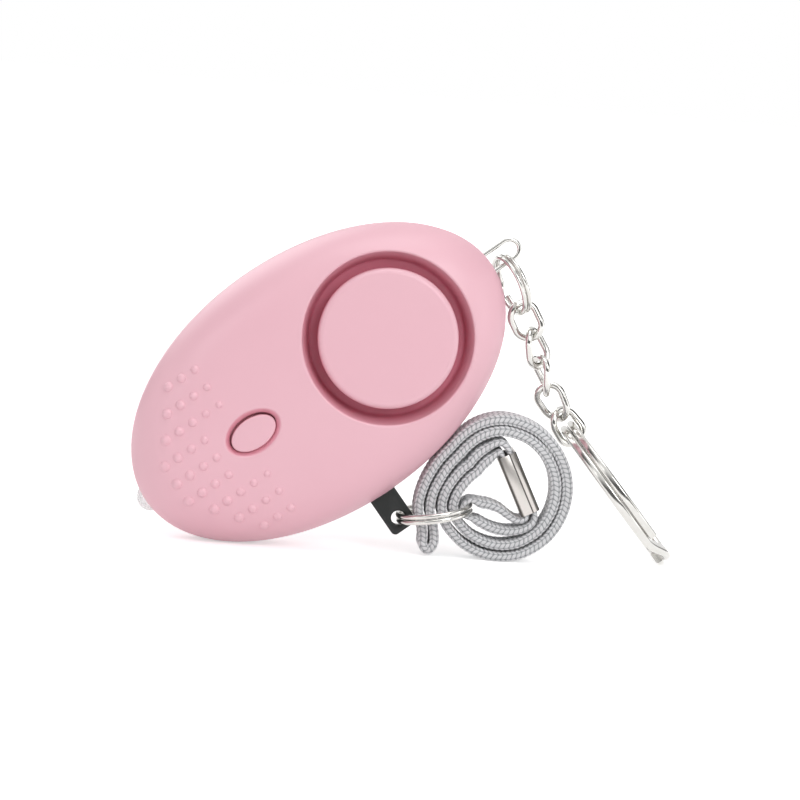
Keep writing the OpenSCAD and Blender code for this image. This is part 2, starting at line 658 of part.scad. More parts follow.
module wrist_strap() color("#B9B9BE") translate(case_mid + roll_mid)
    sweep([for (i = [0:strap_count - 1])
        let (p = strap_line[i][0], t = strap_line[i][1], d = line_dir(i), n = [-d.y, d.x])
        [for (s = flat_section(strap_wid, t, min(0.6, t * 0.4)))
            [p.x + s.y * n.x, s.x, p.y + s.y * n.y]]]);
module strap_crimp() color("#B8AFA8") translate(case_mid + roll_mid + [crimp_mid.x, 0, crimp_mid.y])
    rotate([0, -atan2(crimp_dir.y, crimp_dir.x), 0]) difference() {
        cube([norm(crimp_high - crimp_low), strap_wid + 2 * (touch + crimp_wall), crimp_in + 2 * crimp_wall],
             center = true);
        cube([body_len, strap_wid + 2 * touch, crimp_in], center = true);
    }

module bail() color(nickel) place_case() {
    bow_x = half_len + bail_reach - bail_d / 2 - bail_gap / 2;
    for (s = [1, -1]) translate([bail_foot_x, s * bail_gap / 2, 0])
        rotate([0, 90, 0]) cylinder(d = bail_d, h = bow_x - bail_foot_x);
    translate([bow_x, 0, 0]) rotate([0, 0, -90]) rotate_extrude(angle = 180)
        translate([bail_gap / 2, 0]) circle(d = bail_d, $fn = 32);
    for (s = [1, -1]) translate([bail_foot_x, s * bail_gap / 2, 0])
        rotate([-s * 90, 0, 0]) cylinder(d = bail_d, h = bail_foot);
}
module bail_ring() color(nickel) translate(case_mid + bail_ring_mid) rotate([0, -bail_ring_fall, 0])
    rotate([bail_ring_turn, 0, chain_back]) rotate([0, 0, 60])
        split_ring(bail_ring_r, ring_pitch, round_section(ring_wire));
module hung_link(k) color(nickel) translate(case_mid + link_mids[k]) rotate([0, -link_falls[k], 0])
    rotate([0, 0, chain_back]) chain_link(link_turns[k]);
module chain_link_1() hung_link(0);
module chain_link_2() hung_link(1);
module chain_link_3() hung_link(2);
module chain_link_4() hung_link(3);
module chain_link_5() hung_link(4);
module key_ring() color(nickel) translate(case_mid + key_mid) rotate([0, key_fall, 0]) rotate([0, 0, 300])
    split_ring(key_r, key_pitch, flat_section(key_wire_w, key_wire_t, key_round));

front_shell();
rear_shell();
battery_door();
door_screw();
case_screws();
sounder_cap();
sounder_gasket();
piezo_disc();
piezo_ceramic();
sounder_retainer();
led_button();
switch_plunger();
button_switch();
led_lamp();
led_leads();
circuit_board();
driver_chip();
boost_coil();
battery_cells();
cell_contacts();
door_contacts();
pin_socket();
switch_leaves();
pull_pin();
pull_ring();
wrist_strap();
strap_crimp();
bail();
bail_ring();
chain_link_1();
chain_link_2();
chain_link_3();
chain_link_4();
chain_link_5();
key_ring();
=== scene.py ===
"""A personal safety alarm standing on its rim: pink oval case, rolled wrist strap, key chain."""
import json
import math

import bmesh
import bpy
import numpy as np
from mathutils import Matrix, Vector


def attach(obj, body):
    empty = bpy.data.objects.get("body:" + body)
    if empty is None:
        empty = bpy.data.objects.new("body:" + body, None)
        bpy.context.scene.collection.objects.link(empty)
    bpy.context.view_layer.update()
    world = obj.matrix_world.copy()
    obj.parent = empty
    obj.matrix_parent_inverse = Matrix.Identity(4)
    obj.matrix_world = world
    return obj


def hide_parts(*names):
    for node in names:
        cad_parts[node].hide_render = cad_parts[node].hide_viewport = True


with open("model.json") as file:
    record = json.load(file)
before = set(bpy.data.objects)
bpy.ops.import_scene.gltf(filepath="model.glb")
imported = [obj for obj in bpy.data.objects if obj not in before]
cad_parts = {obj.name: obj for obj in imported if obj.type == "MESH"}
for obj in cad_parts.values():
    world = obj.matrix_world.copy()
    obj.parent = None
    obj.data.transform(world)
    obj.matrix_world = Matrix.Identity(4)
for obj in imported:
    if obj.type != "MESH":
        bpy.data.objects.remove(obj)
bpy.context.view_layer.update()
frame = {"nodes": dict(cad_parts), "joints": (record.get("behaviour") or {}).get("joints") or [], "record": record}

MM = 0.001
TURN = 2 * math.pi

# Sizes in millimetres, as in the part's source
HALF_LEN = 36.0
HALF_WID = 22.35
# Each bulge of the face: swell beyond the oval, height, and how far its foot is raised
BULGES = [(1.017, 15.0, 0.0), (2.0, 16.0, -5.5)]
# How softly one bulge flows into the next
FACE_SOFT = 0.85
SOUNDER_X = 13.9
WELL_R = 14.75
WELL_FLOOR = 4.6
CAP_R = 12.05
CAP_TOP = 9.8
BUTTON_X = -14.1
BUTTON_HALF = (4.2, 2.6)
BUTTON_TOP = 10.09
LAMP_D = 5.0
LAMP_MID = -35.0
PIN_X = -2.0
EYE_OUT = 5.0
EYE_D = 2.5
TAB_WID = 4.9
TAB_T = 3.0
TAB_LEN = 7.3
TAB_IN = 2.0
TAB_R = 0.9
BAIL_D = 0.8
BAIL_GAP = 3.4
BAIL_TIP = 42.3
RING_WIRE = 0.85
RING_PITCH = 0.93
RING_RUN = 0.55
BAIL_RING_R = 5.225
BAIL_RING_FALL = -66
BAIL_RING_TURN = -18
PULL_RING_R = 6.375
PULL_RING_RISE = 12
LINK_WIRE = 1.25
LINK_HALF = 3.275
LINK_BOW_R = 2.325
LINK_FALLS = [-60, -68, -72, -58, -50]
LINK_TURNS = [90, 40, -10, -60, -110]
LINK_TWIST = 20
CHAIN_BACK = 4
KEY_R = 13.9
KEY_WIRE = (2.2, 1.4)
KEY_PITCH = 1.48
KEY_ROUND = 0.45
# Where each split ring steps from one turn to the next, in degrees
PULL_RING_JOG = 75
BAIL_RING_JOG = 60
KEY_RING_JOG = 300
STRAP_WID = 5.5
STRAP_T = 1.45
STRAP_PITCH = 2.0
ROLL_FROM_EYE = (16.45, 6.45)
CRIMP_LOW = np.array([6.3, -3.7])
CRIMP_HIGH = np.array([1.2, 6.2])
CRIMP_IN = 2.6
CRIMP_WALL = 0.4
STRAP_GAP = 0.55
WIRE_RUN = 0.15

# Places come from the joints and mounts of the model
joints = {j["name"]: j for j in frame["joints"]}
mounts = {m["name"]: m for m in frame["record"]["mounts"]}


def place_of(joint):
    return Vector(joints[joint]["pos_m"]) / MM


case_y = -Vector(joints["pin_pull"]["axis"]).normalized()
case_z = -Vector(joints["button_press"]["axis"]).normalized()
case_x = case_y.cross(case_z)
eye = place_of("strap_swing")
case_mid = eye - case_x * PIN_X + case_y * (HALF_WID + EYE_OUT)
roll_mid = eye + Vector((ROLL_FROM_EYE[0], 0, ROLL_FROM_EYE[1]))
key_mid = Vector(mounts["key_loop"]["pos_m"]) / MM
key_up = Vector(mounts["key_loop"]["axis"]).normalized()
case_place = Matrix((case_x, case_y, case_z)).transposed().to_4x4()
case_place.translation = case_mid


def put(mesh_or_points, place):
    """Moves millimetre points by a placing matrix and gives metres."""
    pts = np.asarray(mesh_or_points, float)
    turn = np.array(place.to_3x3())
    return (pts @ turn.T + np.array(place.translation)) * MM


def link_to_scene(mesh, name):
    obj = bpy.data.objects.new(name, mesh)
    bpy.context.scene.collection.objects.link(obj)
    return obj


def mesh_piece(name, points, faces, material, smooth=True):
    mesh = bpy.data.meshes.new(name)
    mesh.from_pydata([tuple(p) for p in points], [], faces)
    mesh.materials.append(material)
    mesh.polygons.foreach_set("use_smooth", [smooth] * len(mesh.polygons))
    mesh.update()
    return link_to_scene(mesh, name)


def face_outwards(mesh, merge=0.0):
    """Merges points that are closer than merge, and turns every face outwards."""
    work = bmesh.new()
    work.from_mesh(mesh)
    if merge:
        bmesh.ops.remove_doubles(work, verts=work.verts, dist=merge)
    bmesh.ops.recalc_face_normals(work, faces=work.faces)
    work.to_mesh(mesh)
    work.free()


def dress(obj, body, slot, *nodes):
    if nodes:
        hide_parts(*nodes)
    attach(obj, body)
    return obj


# Materials


def linear(code):
    """A written sRGB colour as linear numbers."""
    parts = [int(code[i:i + 2], 16) / 255 for i in (1, 3, 5)]
    return tuple(c / 12.92 if c <= 0.04045 else ((c + 0.055) / 1.055) ** 2.4 for c in parts) + (1.0,)


def add(tree, kind, settings=None, **links):
    """Adds a node, sets its fields and sockets, and links sockets to outputs."""
    node = tree.nodes.new(kind)
    for key, value in (settings or {}).items():
        if hasattr(node, key):
            setattr(node, key, value)
        else:
            node.inputs[key].default_value = value
    for key, value in links.items():
        tree.links.new(value, node.inputs[key.replace("_", " ")])
    return node


def figure(tree, operation, *values):
    """Adds one sum to a tree; each value is a number or another node's output."""
    node = tree.nodes.new("ShaderNodeMath")
    node.operation = operation
    for socket, value in zip(node.inputs, values):
        if isinstance(value, (int, float)):
            socket.default_value = value
        else:
            tree.links.new(value, socket)
    return node.outputs["Value"]


def blend_colours(tree, share, low, high):
    """A colour that goes from low to high as share goes from 0 to 1; each end is a colour or an output."""
    node = add(tree, "ShaderNodeMix", {"data_type": "RGBA"}, Factor=share)
    for socket, value in ((node.inputs[6], low), (node.inputs[7], high)):
        if isinstance(value, str):
            socket.default_value = linear(value)
        else:
            tree.links.new(value, socket)
    return node.outputs[2]


def new_material(name):
    mat = bpy.data.materials.new(name)
    mat.use_nodes = True
    tree = mat.node_tree
    tree.nodes.clear()
    out = add(tree, "ShaderNodeOutputMaterial")
    shader = add(tree, "ShaderNodeBsdfPrincipled")
    tree.links.new(shader.outputs["BSDF"], out.inputs["Surface"])
    coords = add(tree, "ShaderNodeTexCoord")
    return mat, tree, shader, coords.outputs["Object"]


def per_metre(size_mm):
    """Texture scale whose features are about size_mm wide."""
    return 1.0 / (size_mm * MM)


def moulded(name, colour, shade, roughness, grain_mm, depth_mm, painted_shade_colour=None):
    """Injection-moulded plastic: an even colour, faint flow shading and a fine spark-eroded grain.

    A darker pink is painted where the mesh's shade value rises: painted shade for the dimness
    of its narrow grooves and recesses.
    """
    mat, tree, shader, coords = new_material(name)
    flow = add(tree, "ShaderNodeTexNoise", {"Scale": per_metre(18), "Detail": 3.0}, Vector=coords)
    skin = blend_colours(tree, flow.outputs["Fac"], colour, shade)
    # Painted shade: a darker pink mixed in where the mesh's shade value rises
    if painted_shade_colour:
        painted_shade = add(tree, "ShaderNodeAttribute", {"attribute_name": "painted_shade"})
        skin = blend_colours(tree, painted_shade.outputs["Fac"], skin, painted_shade_colour)
    tree.links.new(skin, shader.inputs["Base Color"])
    grain = add(tree, "ShaderNodeTexNoise", {"Scale": per_metre(grain_mm), "Detail": 2.0}, Vector=coords)
    gloss = add(tree, "ShaderNodeMapRange", {"To Min": roughness - 0.04, "To Max": roughness + 0.05},
                Value=grain.outputs["Fac"])
    tree.links.new(gloss.outputs["Result"], shader.inputs["Roughness"])
    bump = add(tree, "ShaderNodeBump", {"Strength": 0.35, "Distance": depth_mm * MM},
               Height=grain.outputs["Fac"])
    tree.links.new(bump.outputs["Normal"], shader.inputs["Normal"])
    return mat


def plated(name, colour, shade, roughness, mark_mm=0.8):
    """Bright plated wire: mirror-like, with soft polishing marks that break the reflections."""
    mat, tree, shader, coords = new_material(name)
    shader.inputs["Metallic"].default_value = 1.0
    marks = add(tree, "ShaderNodeTexNoise", {"Scale": per_metre(mark_mm), "Detail": 4.0}, Vector=coords)
    tree.links.new(blend_colours(tree, marks.outputs["Fac"], colour, shade), shader.inputs["Base Color"])
    gloss = add(tree, "ShaderNodeMapRange", {"To Min": roughness - 0.03, "To Max": roughness + 0.08},
                Value=marks.outputs["Fac"])
    tree.links.new(gloss.outputs["Result"], shader.inputs["Roughness"])
    bump = add(tree, "ShaderNodeBump", {"Strength": 0.15, "Distance": 0.02 * MM}, Height=marks.outputs["Fac"])
    tree.links.new(bump.outputs["Normal"], shader.inputs["Normal"])
    return mat


def brushed(name, colour, shade, bend, roughness, along):
    """Rolled sheet steel: fine lines along the strip, with painted shade at its folds and along its seam."""
    mat, tree, shader, coords = new_material(name)
    shader.inputs["Metallic"].default_value = 1.0
    lines = add(tree, "ShaderNodeMapping", {"Scale": tuple(1.0 if a else 30.0 for a in along)}, Vector=coords)
    streak = add(tree, "ShaderNodeTexNoise", {"Scale": per_metre(3), "Detail": 4.0},
                 Vector=lines.outputs["Vector"])
    skin = blend_colours(tree, streak.outputs["Fac"], colour, shade)
    # Painted shade: dark at the strip's folds and in the crease of its seam
    edge_shade_mask = add(tree, "ShaderNodeAttribute", {"attribute_name": "bend"})
    tree.links.new(blend_colours(tree, edge_shade_mask.outputs["Fac"], skin, bend), shader.inputs["Base Color"])
    gloss = add(tree, "ShaderNodeMapRange", {"To Min": roughness - 0.06, "To Max": roughness + 0.1},
                Value=streak.outputs["Fac"])
    tree.links.new(gloss.outputs["Result"], shader.inputs["Roughness"])
    bump = add(tree, "ShaderNodeBump", {"Strength": 0.25, "Distance": 0.01 * MM},
               Height=streak.outputs["Fac"])
    tree.links.new(bump.outputs["Normal"], shader.inputs["Normal"])
    return mat


def braided(name, crest, valley_shade):
    """Polyester braid: stitches in columns that lean left and right by turns, of dull twisted yarn."""
    mat, tree, shader, coords = new_material(name)
    shader.inputs["Roughness"].default_value = 0.82
    shader.inputs["Sheen Weight"].default_value = 0.25
    shader.inputs["Sheen Roughness"].default_value = 0.5
    shader.inputs["Specular IOR Level"].default_value = 0.3
    thread = add(tree, "ShaderNodeUVMap", {"uv_map": "yarn"})
    spot = add(tree, "ShaderNodeSeparateXYZ", Vector=thread.outputs["UV"])
    column, along = spot.outputs["X"], spot.outputs["Y"]
    within = figure(tree, "SUBTRACT", figure(tree, "FRACT", column), 0.5)
    lean = figure(tree, "MULTIPLY_ADD", figure(tree, "MODULO", figure(tree, "FLOOR", column), 2), -2, 1)
    phase = figure(tree, "MULTIPLY_ADD", figure(tree, "MULTIPLY", lean, within), STITCH_LEAN, along)
    ridge = figure(tree, "ABSOLUTE", figure(tree, "COSINE", figure(tree, "MULTIPLY", phase, math.pi)))
    crown = figure(tree, "COSINE", figure(tree, "MULTIPLY", within, math.pi))
    stitch = figure(tree, "MULTIPLY", figure(tree, "POWER", ridge, 0.4), figure(tree, "POWER", crown, 0.3))
    fibre = add(tree, "ShaderNodeTexNoise", {"Scale": per_metre(0.35), "Detail": 5.0, "Roughness": 0.7},
                Vector=coords)
    shown = figure(tree, "MULTIPLY_ADD", fibre.outputs["Fac"], 0.3, stitch)
    ramp = add(tree, "ShaderNodeMapRange", {"From Min": 0.4, "From Max": 0.95}, Value=shown)
    # Painted shade: the yarn's grey is drawn darker between the stitches' crowns
    tree.links.new(blend_colours(tree, ramp.outputs["Result"], valley_shade, crest), shader.inputs["Base Color"])
    strands = add(tree, "ShaderNodeTexWave", {"Scale": 6.0, "Distortion": 1.5, "Detail": 2.0},
                  Vector=thread.outputs["UV"])
    relief = figure(tree, "MULTIPLY_ADD", strands.outputs["Fac"], 0.2, stitch)
    bump = add(tree, "ShaderNodeBump", {"Strength": 0.7, "Distance": 0.15 * MM}, Height=relief)
    tree.links.new(bump.outputs["Normal"], shader.inputs["Normal"])
    return mat


def cast_clear(name, colour):
    """Clear cast epoxy: colourless, glossy and a little hazy, so that what lies behind shows through."""
    mat, tree, shader, coords = new_material(name)
    shader.inputs["IOR"].default_value = 1.54
    shader.inputs["Transmission Weight"].default_value = 0.3
    shader.inputs["Alpha"].default_value = 0.4
    haze = add(tree, "ShaderNodeTexNoise", {"Scale": per_metre(2), "Detail": 2.0}, Vector=coords)
    tree.links.new(blend_colours(tree, haze.outputs["Fac"], colour, "#FFFFFF"), shader.inputs["Base Color"])
    gloss = add(tree, "ShaderNodeMapRange", {"To Min": 0.03, "To Max": 0.08}, Value=haze.outputs["Fac"])
    tree.links.new(gloss.outputs["Result"], shader.inputs["Roughness"])
    return mat


STITCH_LEAN = 0.62
# Satin pink ABS: broad soft highlights, and painted shade, a darker pink, in the grooves and recesses. Its grain,
# like that of the other mouldings, is drawn coarser than the real one, so that it shows
CASE = moulded("pink_abs_satin", "#F0BFCA", "#EDBAC6", 0.35, 0.35, 0.012, painted_shade_colour="#DC8296")
# Black mouldings: nearly black, with a soft sheen along the edges
TAB = moulded("black_abs_moulded", "#1B201F", "#141817", 0.4, 0.4, 0.015)
DARK = moulded("black_nylon_moulded", "#26282A", "#1C1E20", 0.5, 0.5, 0.015)
# Ivory nylon: a warm white that scatters light evenly
IVORY = moulded("ivory_nylon_moulded", "#E9E2CF", "#E0D8C2", 0.5, 0.5, 0.015)
# Solder resist: a glossy green film
BOARD = moulded("green_solder_resist", "#2E6B3F", "#275C36", 0.35, 1.2, 0.02)
# Fired ceramic: a chalky white
WHITE_CERAMIC = moulded("fired_ceramic", "#EDEBE3", "#E2DFD4", 0.6, 0.4, 0.01)
# Closed-cell foam: a dark grey without gloss
FOAM = moulded("closed_cell_foam", "#3A3B3D", "#2C2D2F", 0.9, 0.5, 0.05)
# Bright nickel: mirrors the pale studio in hard light and dark bands
NICKEL = plated("bright_nickel_plate", "#DAD9D6", "#CFCDC8", 0.13)
# Spring brass and zinc plate: duller metals, yellow and bluish grey
BRASS = plated("spring_brass", "#D8B26A", "#C79E55", 0.3)
STEEL = plated("zinc_plated_steel", "#C4C5C6", "#B3B4B5", 0.3)
# Rolled steel: a grey with fine lines, with painted shade darkening its folds and seam
CRIMP = brushed("rolled_crimp_steel", "#DEDAD6", "#CBC5C0", "#5C5955", 0.3, (False, True, False))
# Polyester braid: the pale grey of the yarn, with painted shade darkening the grooves between the stitches
BRAID = braided("grey_polyester_braid", "#EFEFF1", "#95999C")
# Clear epoxy: the pale background shows through it
CLEAR = cast_clear("clear_epoxy", "#F4F7F8")

# Geometry Nodes trees


def new_tree(name, sockets):
    tree = bpy.data.node_groups.new(name, "GeometryNodeTree")
    tree.interface.new_socket("Geometry", in_out="INPUT", socket_type="NodeSocketGeometry")
    for label, kind in sockets:
        tree.interface.new_socket(label, in_out="INPUT", socket_type=kind)
    tree.interface.new_socket("Geometry", in_out="OUTPUT", socket_type="NodeSocketGeometry")
    return tree, add(tree, "NodeGroupInput"), add(tree, "NodeGroupOutput")


def finish_tree(tree, geometry, inputs, out):
    smooth = add(tree, "GeometryNodeSetShadeSmooth", Geometry=geometry)
    real = add(tree, "GeometryNodeRealizeInstances", Geometry=smooth.outputs["Geometry"])
    paint = add(tree, "GeometryNodeSetMaterial", Geometry=real.outputs["Geometry"],
                Material=inputs.outputs["Finish"])
    tree.links.new(paint.outputs["Geometry"], out.inputs["Geometry"])


def wire_tree():
    """Round wire along a line of edges."""
    sockets = [("Wire diameter", "NodeSocketFloat"), ("Sides", "NodeSocketInt"),
               ("Finish", "NodeSocketMaterial")]
    tree, inputs, out = new_tree("round_wire", sockets)
    line = add(tree, "GeometryNodeMeshToCurve", Mesh=inputs.outputs["Geometry"])
    half = figure(tree, "MULTIPLY", inputs.outputs["Wire diameter"], 0.5)
    section = add(tree, "GeometryNodeCurvePrimitiveCircle", Radius=half, Resolution=inputs.outputs["Sides"])
    wire = add(tree, "GeometryNodeCurveToMesh", {"Fill Caps": True}, Curve=line.outputs["Curve"],
               Profile_Curve=section.outputs["Curve"])
    finish_tree(tree, wire.outputs["Mesh"], inputs, out)
    return tree


def flat_wire_tree():
    """Flattened wire along a line of edges that winds about z."""
    sockets = [("Wire width", "NodeSocketFloat"), ("Wire thickness", "NodeSocketFloat"),
               ("Edge radius", "NodeSocketFloat"), ("Finish", "NodeSocketMaterial")]
    tree, inputs, out = new_tree("flat_wire", sockets)
    line = add(tree, "GeometryNodeMeshToCurve", Mesh=inputs.outputs["Geometry"])
    upright = add(tree, "GeometryNodeSetCurveNormal", {"mode": "Z_UP"}, Curve=line.outputs["Curve"])
    block = add(tree, "GeometryNodeCurvePrimitiveQuadrilateral", Width=inputs.outputs["Wire width"],
                Height=inputs.outputs["Wire thickness"])
    section = add(tree, "GeometryNodeFilletCurve", {"mode": "POLY", "Count": 5}, Curve=block.outputs["Curve"],
                  Radius=inputs.outputs["Edge radius"])
    wire = add(tree, "GeometryNodeCurveToMesh", {"Fill Caps": True}, Curve=upright.outputs["Curve"],
               Profile_Curve=section.outputs["Curve"])
    finish_tree(tree, wire.outputs["Mesh"], inputs, out)
    return tree


def bump_tree():
    """One moulded bump on each point, sized and turned by the point's own values."""
    sockets = [("Bump", "NodeSocketObject"), ("Finish", "NodeSocketMaterial")]
    tree, inputs, out = new_tree("grip_bumps", sockets)
    shape = add(tree, "GeometryNodeObjectInfo", Object=inputs.outputs["Bump"])
    size = add(tree, "GeometryNodeInputNamedAttribute", {"data_type": "FLOAT_VECTOR", "Name": "size"})
    turn = add(tree, "GeometryNodeInputNamedAttribute", {"data_type": "FLOAT_VECTOR", "Name": "turn"})
    angle = add(tree, "FunctionNodeEulerToRotation", Euler=turn.outputs["Attribute"])
    cloud = add(tree, "GeometryNodeMeshToPoints", Mesh=inputs.outputs["Geometry"])
    spread = add(tree, "GeometryNodeInstanceOnPoints", Points=cloud.outputs["Points"],
                 Instance=shape.outputs["Geometry"], Rotation=angle.outputs["Rotation"],
                 Scale=size.outputs["Attribute"])
    finish_tree(tree, spread.outputs["Instances"], inputs, out)
    return tree


def grow(name, source, tree, **values):
    """Runs a tree on a mesh and keeps the result as a plain mesh object."""
    seed = link_to_scene(source, name + "_seed")
    mod = seed.modifiers.new("nodes", "NODES")
    mod.node_group = tree
    for item in tree.interface.items_tree:
        label = item.name.replace(" ", "_").lower()
        if item.in_out == "INPUT" and label in values:
            mod[item.identifier] = values[label]
    graph = bpy.context.evaluated_depsgraph_get()
    mesh = bpy.data.meshes.new_from_object(seed.evaluated_get(graph), depsgraph=graph)
    mesh.name = name
    bpy.data.objects.remove(seed)
    return link_to_scene(mesh, name)


def edge_line(points, closed=False):
    mesh = bpy.data.meshes.new("line")
    count = len(points)
    edges = [(i, (i + 1) % count) for i in range(count if closed else count - 1)]
    mesh.from_pydata([tuple(p) for p in points], edges, [])
    return mesh


ROUND_WIRE = wire_tree()
FLAT_WIRE = flat_wire_tree()
BUMPS = bump_tree()


def round_wire(name, points, diameter, material, closed=False, sides=20):
    return grow(name, edge_line(points, closed), ROUND_WIRE, wire_diameter=diameter * MM, sides=sides,
                finish=material)


# Turned shapes


def lathe(name, profile, place, material, steps=160, stretch=(0.0, 0.0)):
    """Turns a profile of (radius, height) about z; stretch adds to the x and y radii for an oval."""
    angles = np.linspace(0, TURN, steps, endpoint=False)
    points, faces = [], []
    rings = []
    for r, z in profile:
        if r <= 1e-6 and max(stretch) <= 0:
            rings.append([len(points)])
            points.append((0, 0, z))
            continue
        rings.append(list(range(len(points), len(points) + steps)))
        for a in angles:
            points.append(((r + stretch[0]) * math.cos(a), (r + stretch[1]) * math.sin(a), z))
    for low, high in zip(rings, rings[1:]):
        for i in range(steps):
            j = (i + 1) % steps
            if len(low) == 1:
                faces.append((low[0], high[j], high[i]))
            elif len(high) == 1:
                faces.append((low[i], low[j], high[0]))
            else:
                faces.append((low[i], low[j], high[j], high[i]))
    for ring, flip in ((rings[0], True), (rings[-1], False)):
        if len(ring) > 1:
            faces.append(tuple(reversed(ring)) if flip else tuple(ring))
    return mesh_piece(name, put(points, place), faces, material)


def round_over(r, z, radius, start, end, steps=8):
    """Points of an arc about (r, z) from one angle to another, in degrees."""
    angles = [math.radians(start + (end - start) * i / steps) for i in range(steps + 1)]
    return [(r + radius * math.cos(a), z + radius * math.sin(a)) for a in angles]


# The front half of the case


def dome(x, y):
    """Height of the face above the parting line: a flat crown that flows into the rounded rim."""
    share = np.minimum((x / HALF_LEN) ** 2 + (y / HALF_WID) ** 2, 1.0)
    near = sum(np.exp(-(c + h * np.sqrt(1 - share / swell ** 2)) / FACE_SOFT) for swell, h, c in BULGES)
    return -FACE_SOFT * np.log(near)


# Rows and columns of the face's mesh are closer together round the button
FINE_ANGLE = 9.5
FINE_STEPS = 90
WIDE_STEPS = 300
BUTTON_SHARES = (0.19, 0.535)
# How much painted shade, a darker pink, shows at the well's lip and in the button's recess
LIP_PAINTED_SHADE = 0.35
RECESS_PAINTED_SHADE = 0.6
LIP = 0.4
WELL_FILLET = 0.5
WELL_DRAFT = 1.2
BUTTON_GAP = 0.22
BUTTON_SHIFT = 0.18
RECESS = 0.9
RECESS_DROP = 0.95
EDGE_DRAW = 0.26
EDGE_CLOSE = 0.12
POCKET_Z = 7.6
INNER_TOP = 7.0
SHELL_WALL = 1.8
CUP_R = 16.15
CUP_Z = 3.4
STEM_R = 4.0


def button_cut(x, y):
    """Lowers the face in a sloped rim round the button, and makes its hole.

    Points near the hole's edge are drawn to it, so that its wall stands straight. Gives x, y, z and the drop.
    """
    dx, dy = x - BUTTON_X, y
    a, b = BUTTON_HALF[0] + BUTTON_GAP, BUTTON_HALF[1] + BUTTON_GAP
    share = np.maximum(np.sqrt((dx / a) ** 2 + (dy / b) ** 2), 1e-6)
    reach = np.maximum(np.hypot(dx, dy), 1e-6)
    out = reach * (1 - 1 / share)
    near = [0, EDGE_DRAW, 2 * EDGE_DRAW]
    drawn = np.sign(out) * np.interp(np.abs(out), near, [0, EDGE_CLOSE * EDGE_DRAW, 2 * EDGE_DRAW])
    drawn = np.where(np.abs(out) > 2 * EDGE_DRAW, out, drawn)
    x, y = x + dx * (drawn - out) / reach, y + dy * (drawn - out) / reach
    face = dome(x, y)
    drop = RECESS_DROP * (1 - np.clip(drawn / RECESS, 0, 1)) ** 1.2
    return x, y, np.where(drawn < 0, POCKET_Z, face - drop), drop


def front_half():
    close = math.radians(FINE_ANGLE)
    near = np.linspace(math.pi - close, math.pi + close, FINE_STEPS, endpoint=False)
    far = np.linspace(math.pi + close, 3 * math.pi - close, WIDE_STEPS, endpoint=False)
    angles = np.concatenate([near, far])
    cos, sin = np.cos(angles), np.sin(angles)
    qa = (cos / HALF_LEN) ** 2 + (sin / HALF_WID) ** 2
    qb = SOUNDER_X * cos / HALF_LEN ** 2
    qc = (SOUNDER_X / HALF_LEN) ** 2 - 1
    reach = (-qb + np.sqrt(qb ** 2 - qa * qc)) / qa
    rows, painted_shades = [], []

    def row(r, z, painted_shade=0.0):
        r = np.broadcast_to(r, angles.shape)
        z = np.broadcast_to(z, angles.shape)
        rows.append(np.stack([SOUNDER_X + r * cos, r * sin, z], 1))
        painted_shades.append(np.broadcast_to(painted_shade, angles.shape))

    foot = WELL_R - WELL_DRAFT
    # The well's floor, fillet and wall get full painted shade, which fades out over the lip
    for r in (STEM_R, 8.0, 11.0, foot - WELL_FILLET):
        row(r, WELL_FLOOR, 1.0)
    for step in range(1, 6):
        a = math.radians(90 * step / 5)
        row(foot - WELL_FILLET + WELL_FILLET * math.sin(a), WELL_FLOOR + WELL_FILLET * (1 - math.cos(a)), 1.0)
    edge = dome(SOUNDER_X + (WELL_R + LIP) * cos, (WELL_R + LIP) * sin)
    low = WELL_FLOOR + WELL_FILLET
    for share in (0.35, 0.7, 1.0):
        row(foot + WELL_DRAFT * share, low + share * (edge - LIP - low), 1.0 - (1 - LIP_PAINTED_SHADE) * share)
    for step in range(1, 9):
        a = math.radians(90 * step / 8)
        row(WELL_R + LIP * (1 - math.cos(a)), edge - LIP * (1 - math.sin(a)),
            LIP_PAINTED_SHADE * (1 - step / 8) ** 1.5)
    start = WELL_R + LIP
    first, last = BUTTON_SHARES
    shares = np.concatenate([np.linspace(0, first, 12)[1:], np.linspace(first, last, 96)[1:],
                             last + (1 - last) * (1 - (1 - np.linspace(0, 1, 40)[1:]) ** 2)])
    for share in shares:
        r = start + (reach - start) * share
        x, y, z, drop = button_cut(SOUNDER_X + r * cos, r * sin)
        rows.append(np.stack([x, y, z], 1))
        # Painted shade in the button's recess, stronger where the face drops
        painted_shades.append(RECESS_PAINTED_SHADE * np.clip(drop / RECESS_DROP / 0.3, 0, 1))
    rim = rows[-1][:, 2]
    for share in (0.75, 0.5, 0.25, 0.06):
        row(reach, rim * share)
    row(reach - 0.12, 0.0)
    row(reach - SHELL_WALL, 0.0)
    row(reach - SHELL_WALL, 1.2)
    for share in (0.6, 0.45, 0.3, 0.15, 0.005):
        r = CUP_R + (reach - CUP_R) * share
        row(r, np.minimum(INNER_TOP, dome(SOUNDER_X + r * cos, r * sin) - SHELL_WALL))
    row(CUP_R, CUP_Z)
    row(STEM_R, CUP_Z)
    count = len(angles)
    points = np.concatenate(rows)
    faces = []
    total = len(rows)
    for k in range(total):
        a, b = k * count, ((k + 1) % total) * count
        for i in range(count):
            j = (i + 1) % count
            faces.append((a + i, b + i, b + j, a + j))
    obj = mesh_piece("case_front", put(points, case_place), faces, CASE)
    painted_shade = obj.data.attributes.new("painted_shade", "FLOAT", "POINT")
    painted_shade.data.foreach_set("value", np.concatenate(painted_shades).astype(np.float32))
    return obj


dress(front_half(), "case", "case_plastic", "front_shell")

# Raised grip dots, larger towards the lamp end
DOT_X = -29.8
DOT_STEP = (2.73, 3.6)
DOT_D = 1.82
DOT_RISE = 0.56


def dot_shape():
    rings = [(1.08, -0.15), (1.0, 0.05), (0.93, 0.25), (0.8, 0.5), (0.6, 0.76), (0.36, 0.93), (0.16, 0.99)]
    obj = lathe("dot_pattern", [(0, -0.2)] + rings + [(0, 1.0)], Matrix.Identity(4), CASE, steps=24)
    obj.data.transform(Matrix.Scale(1 / MM, 4))
    return obj


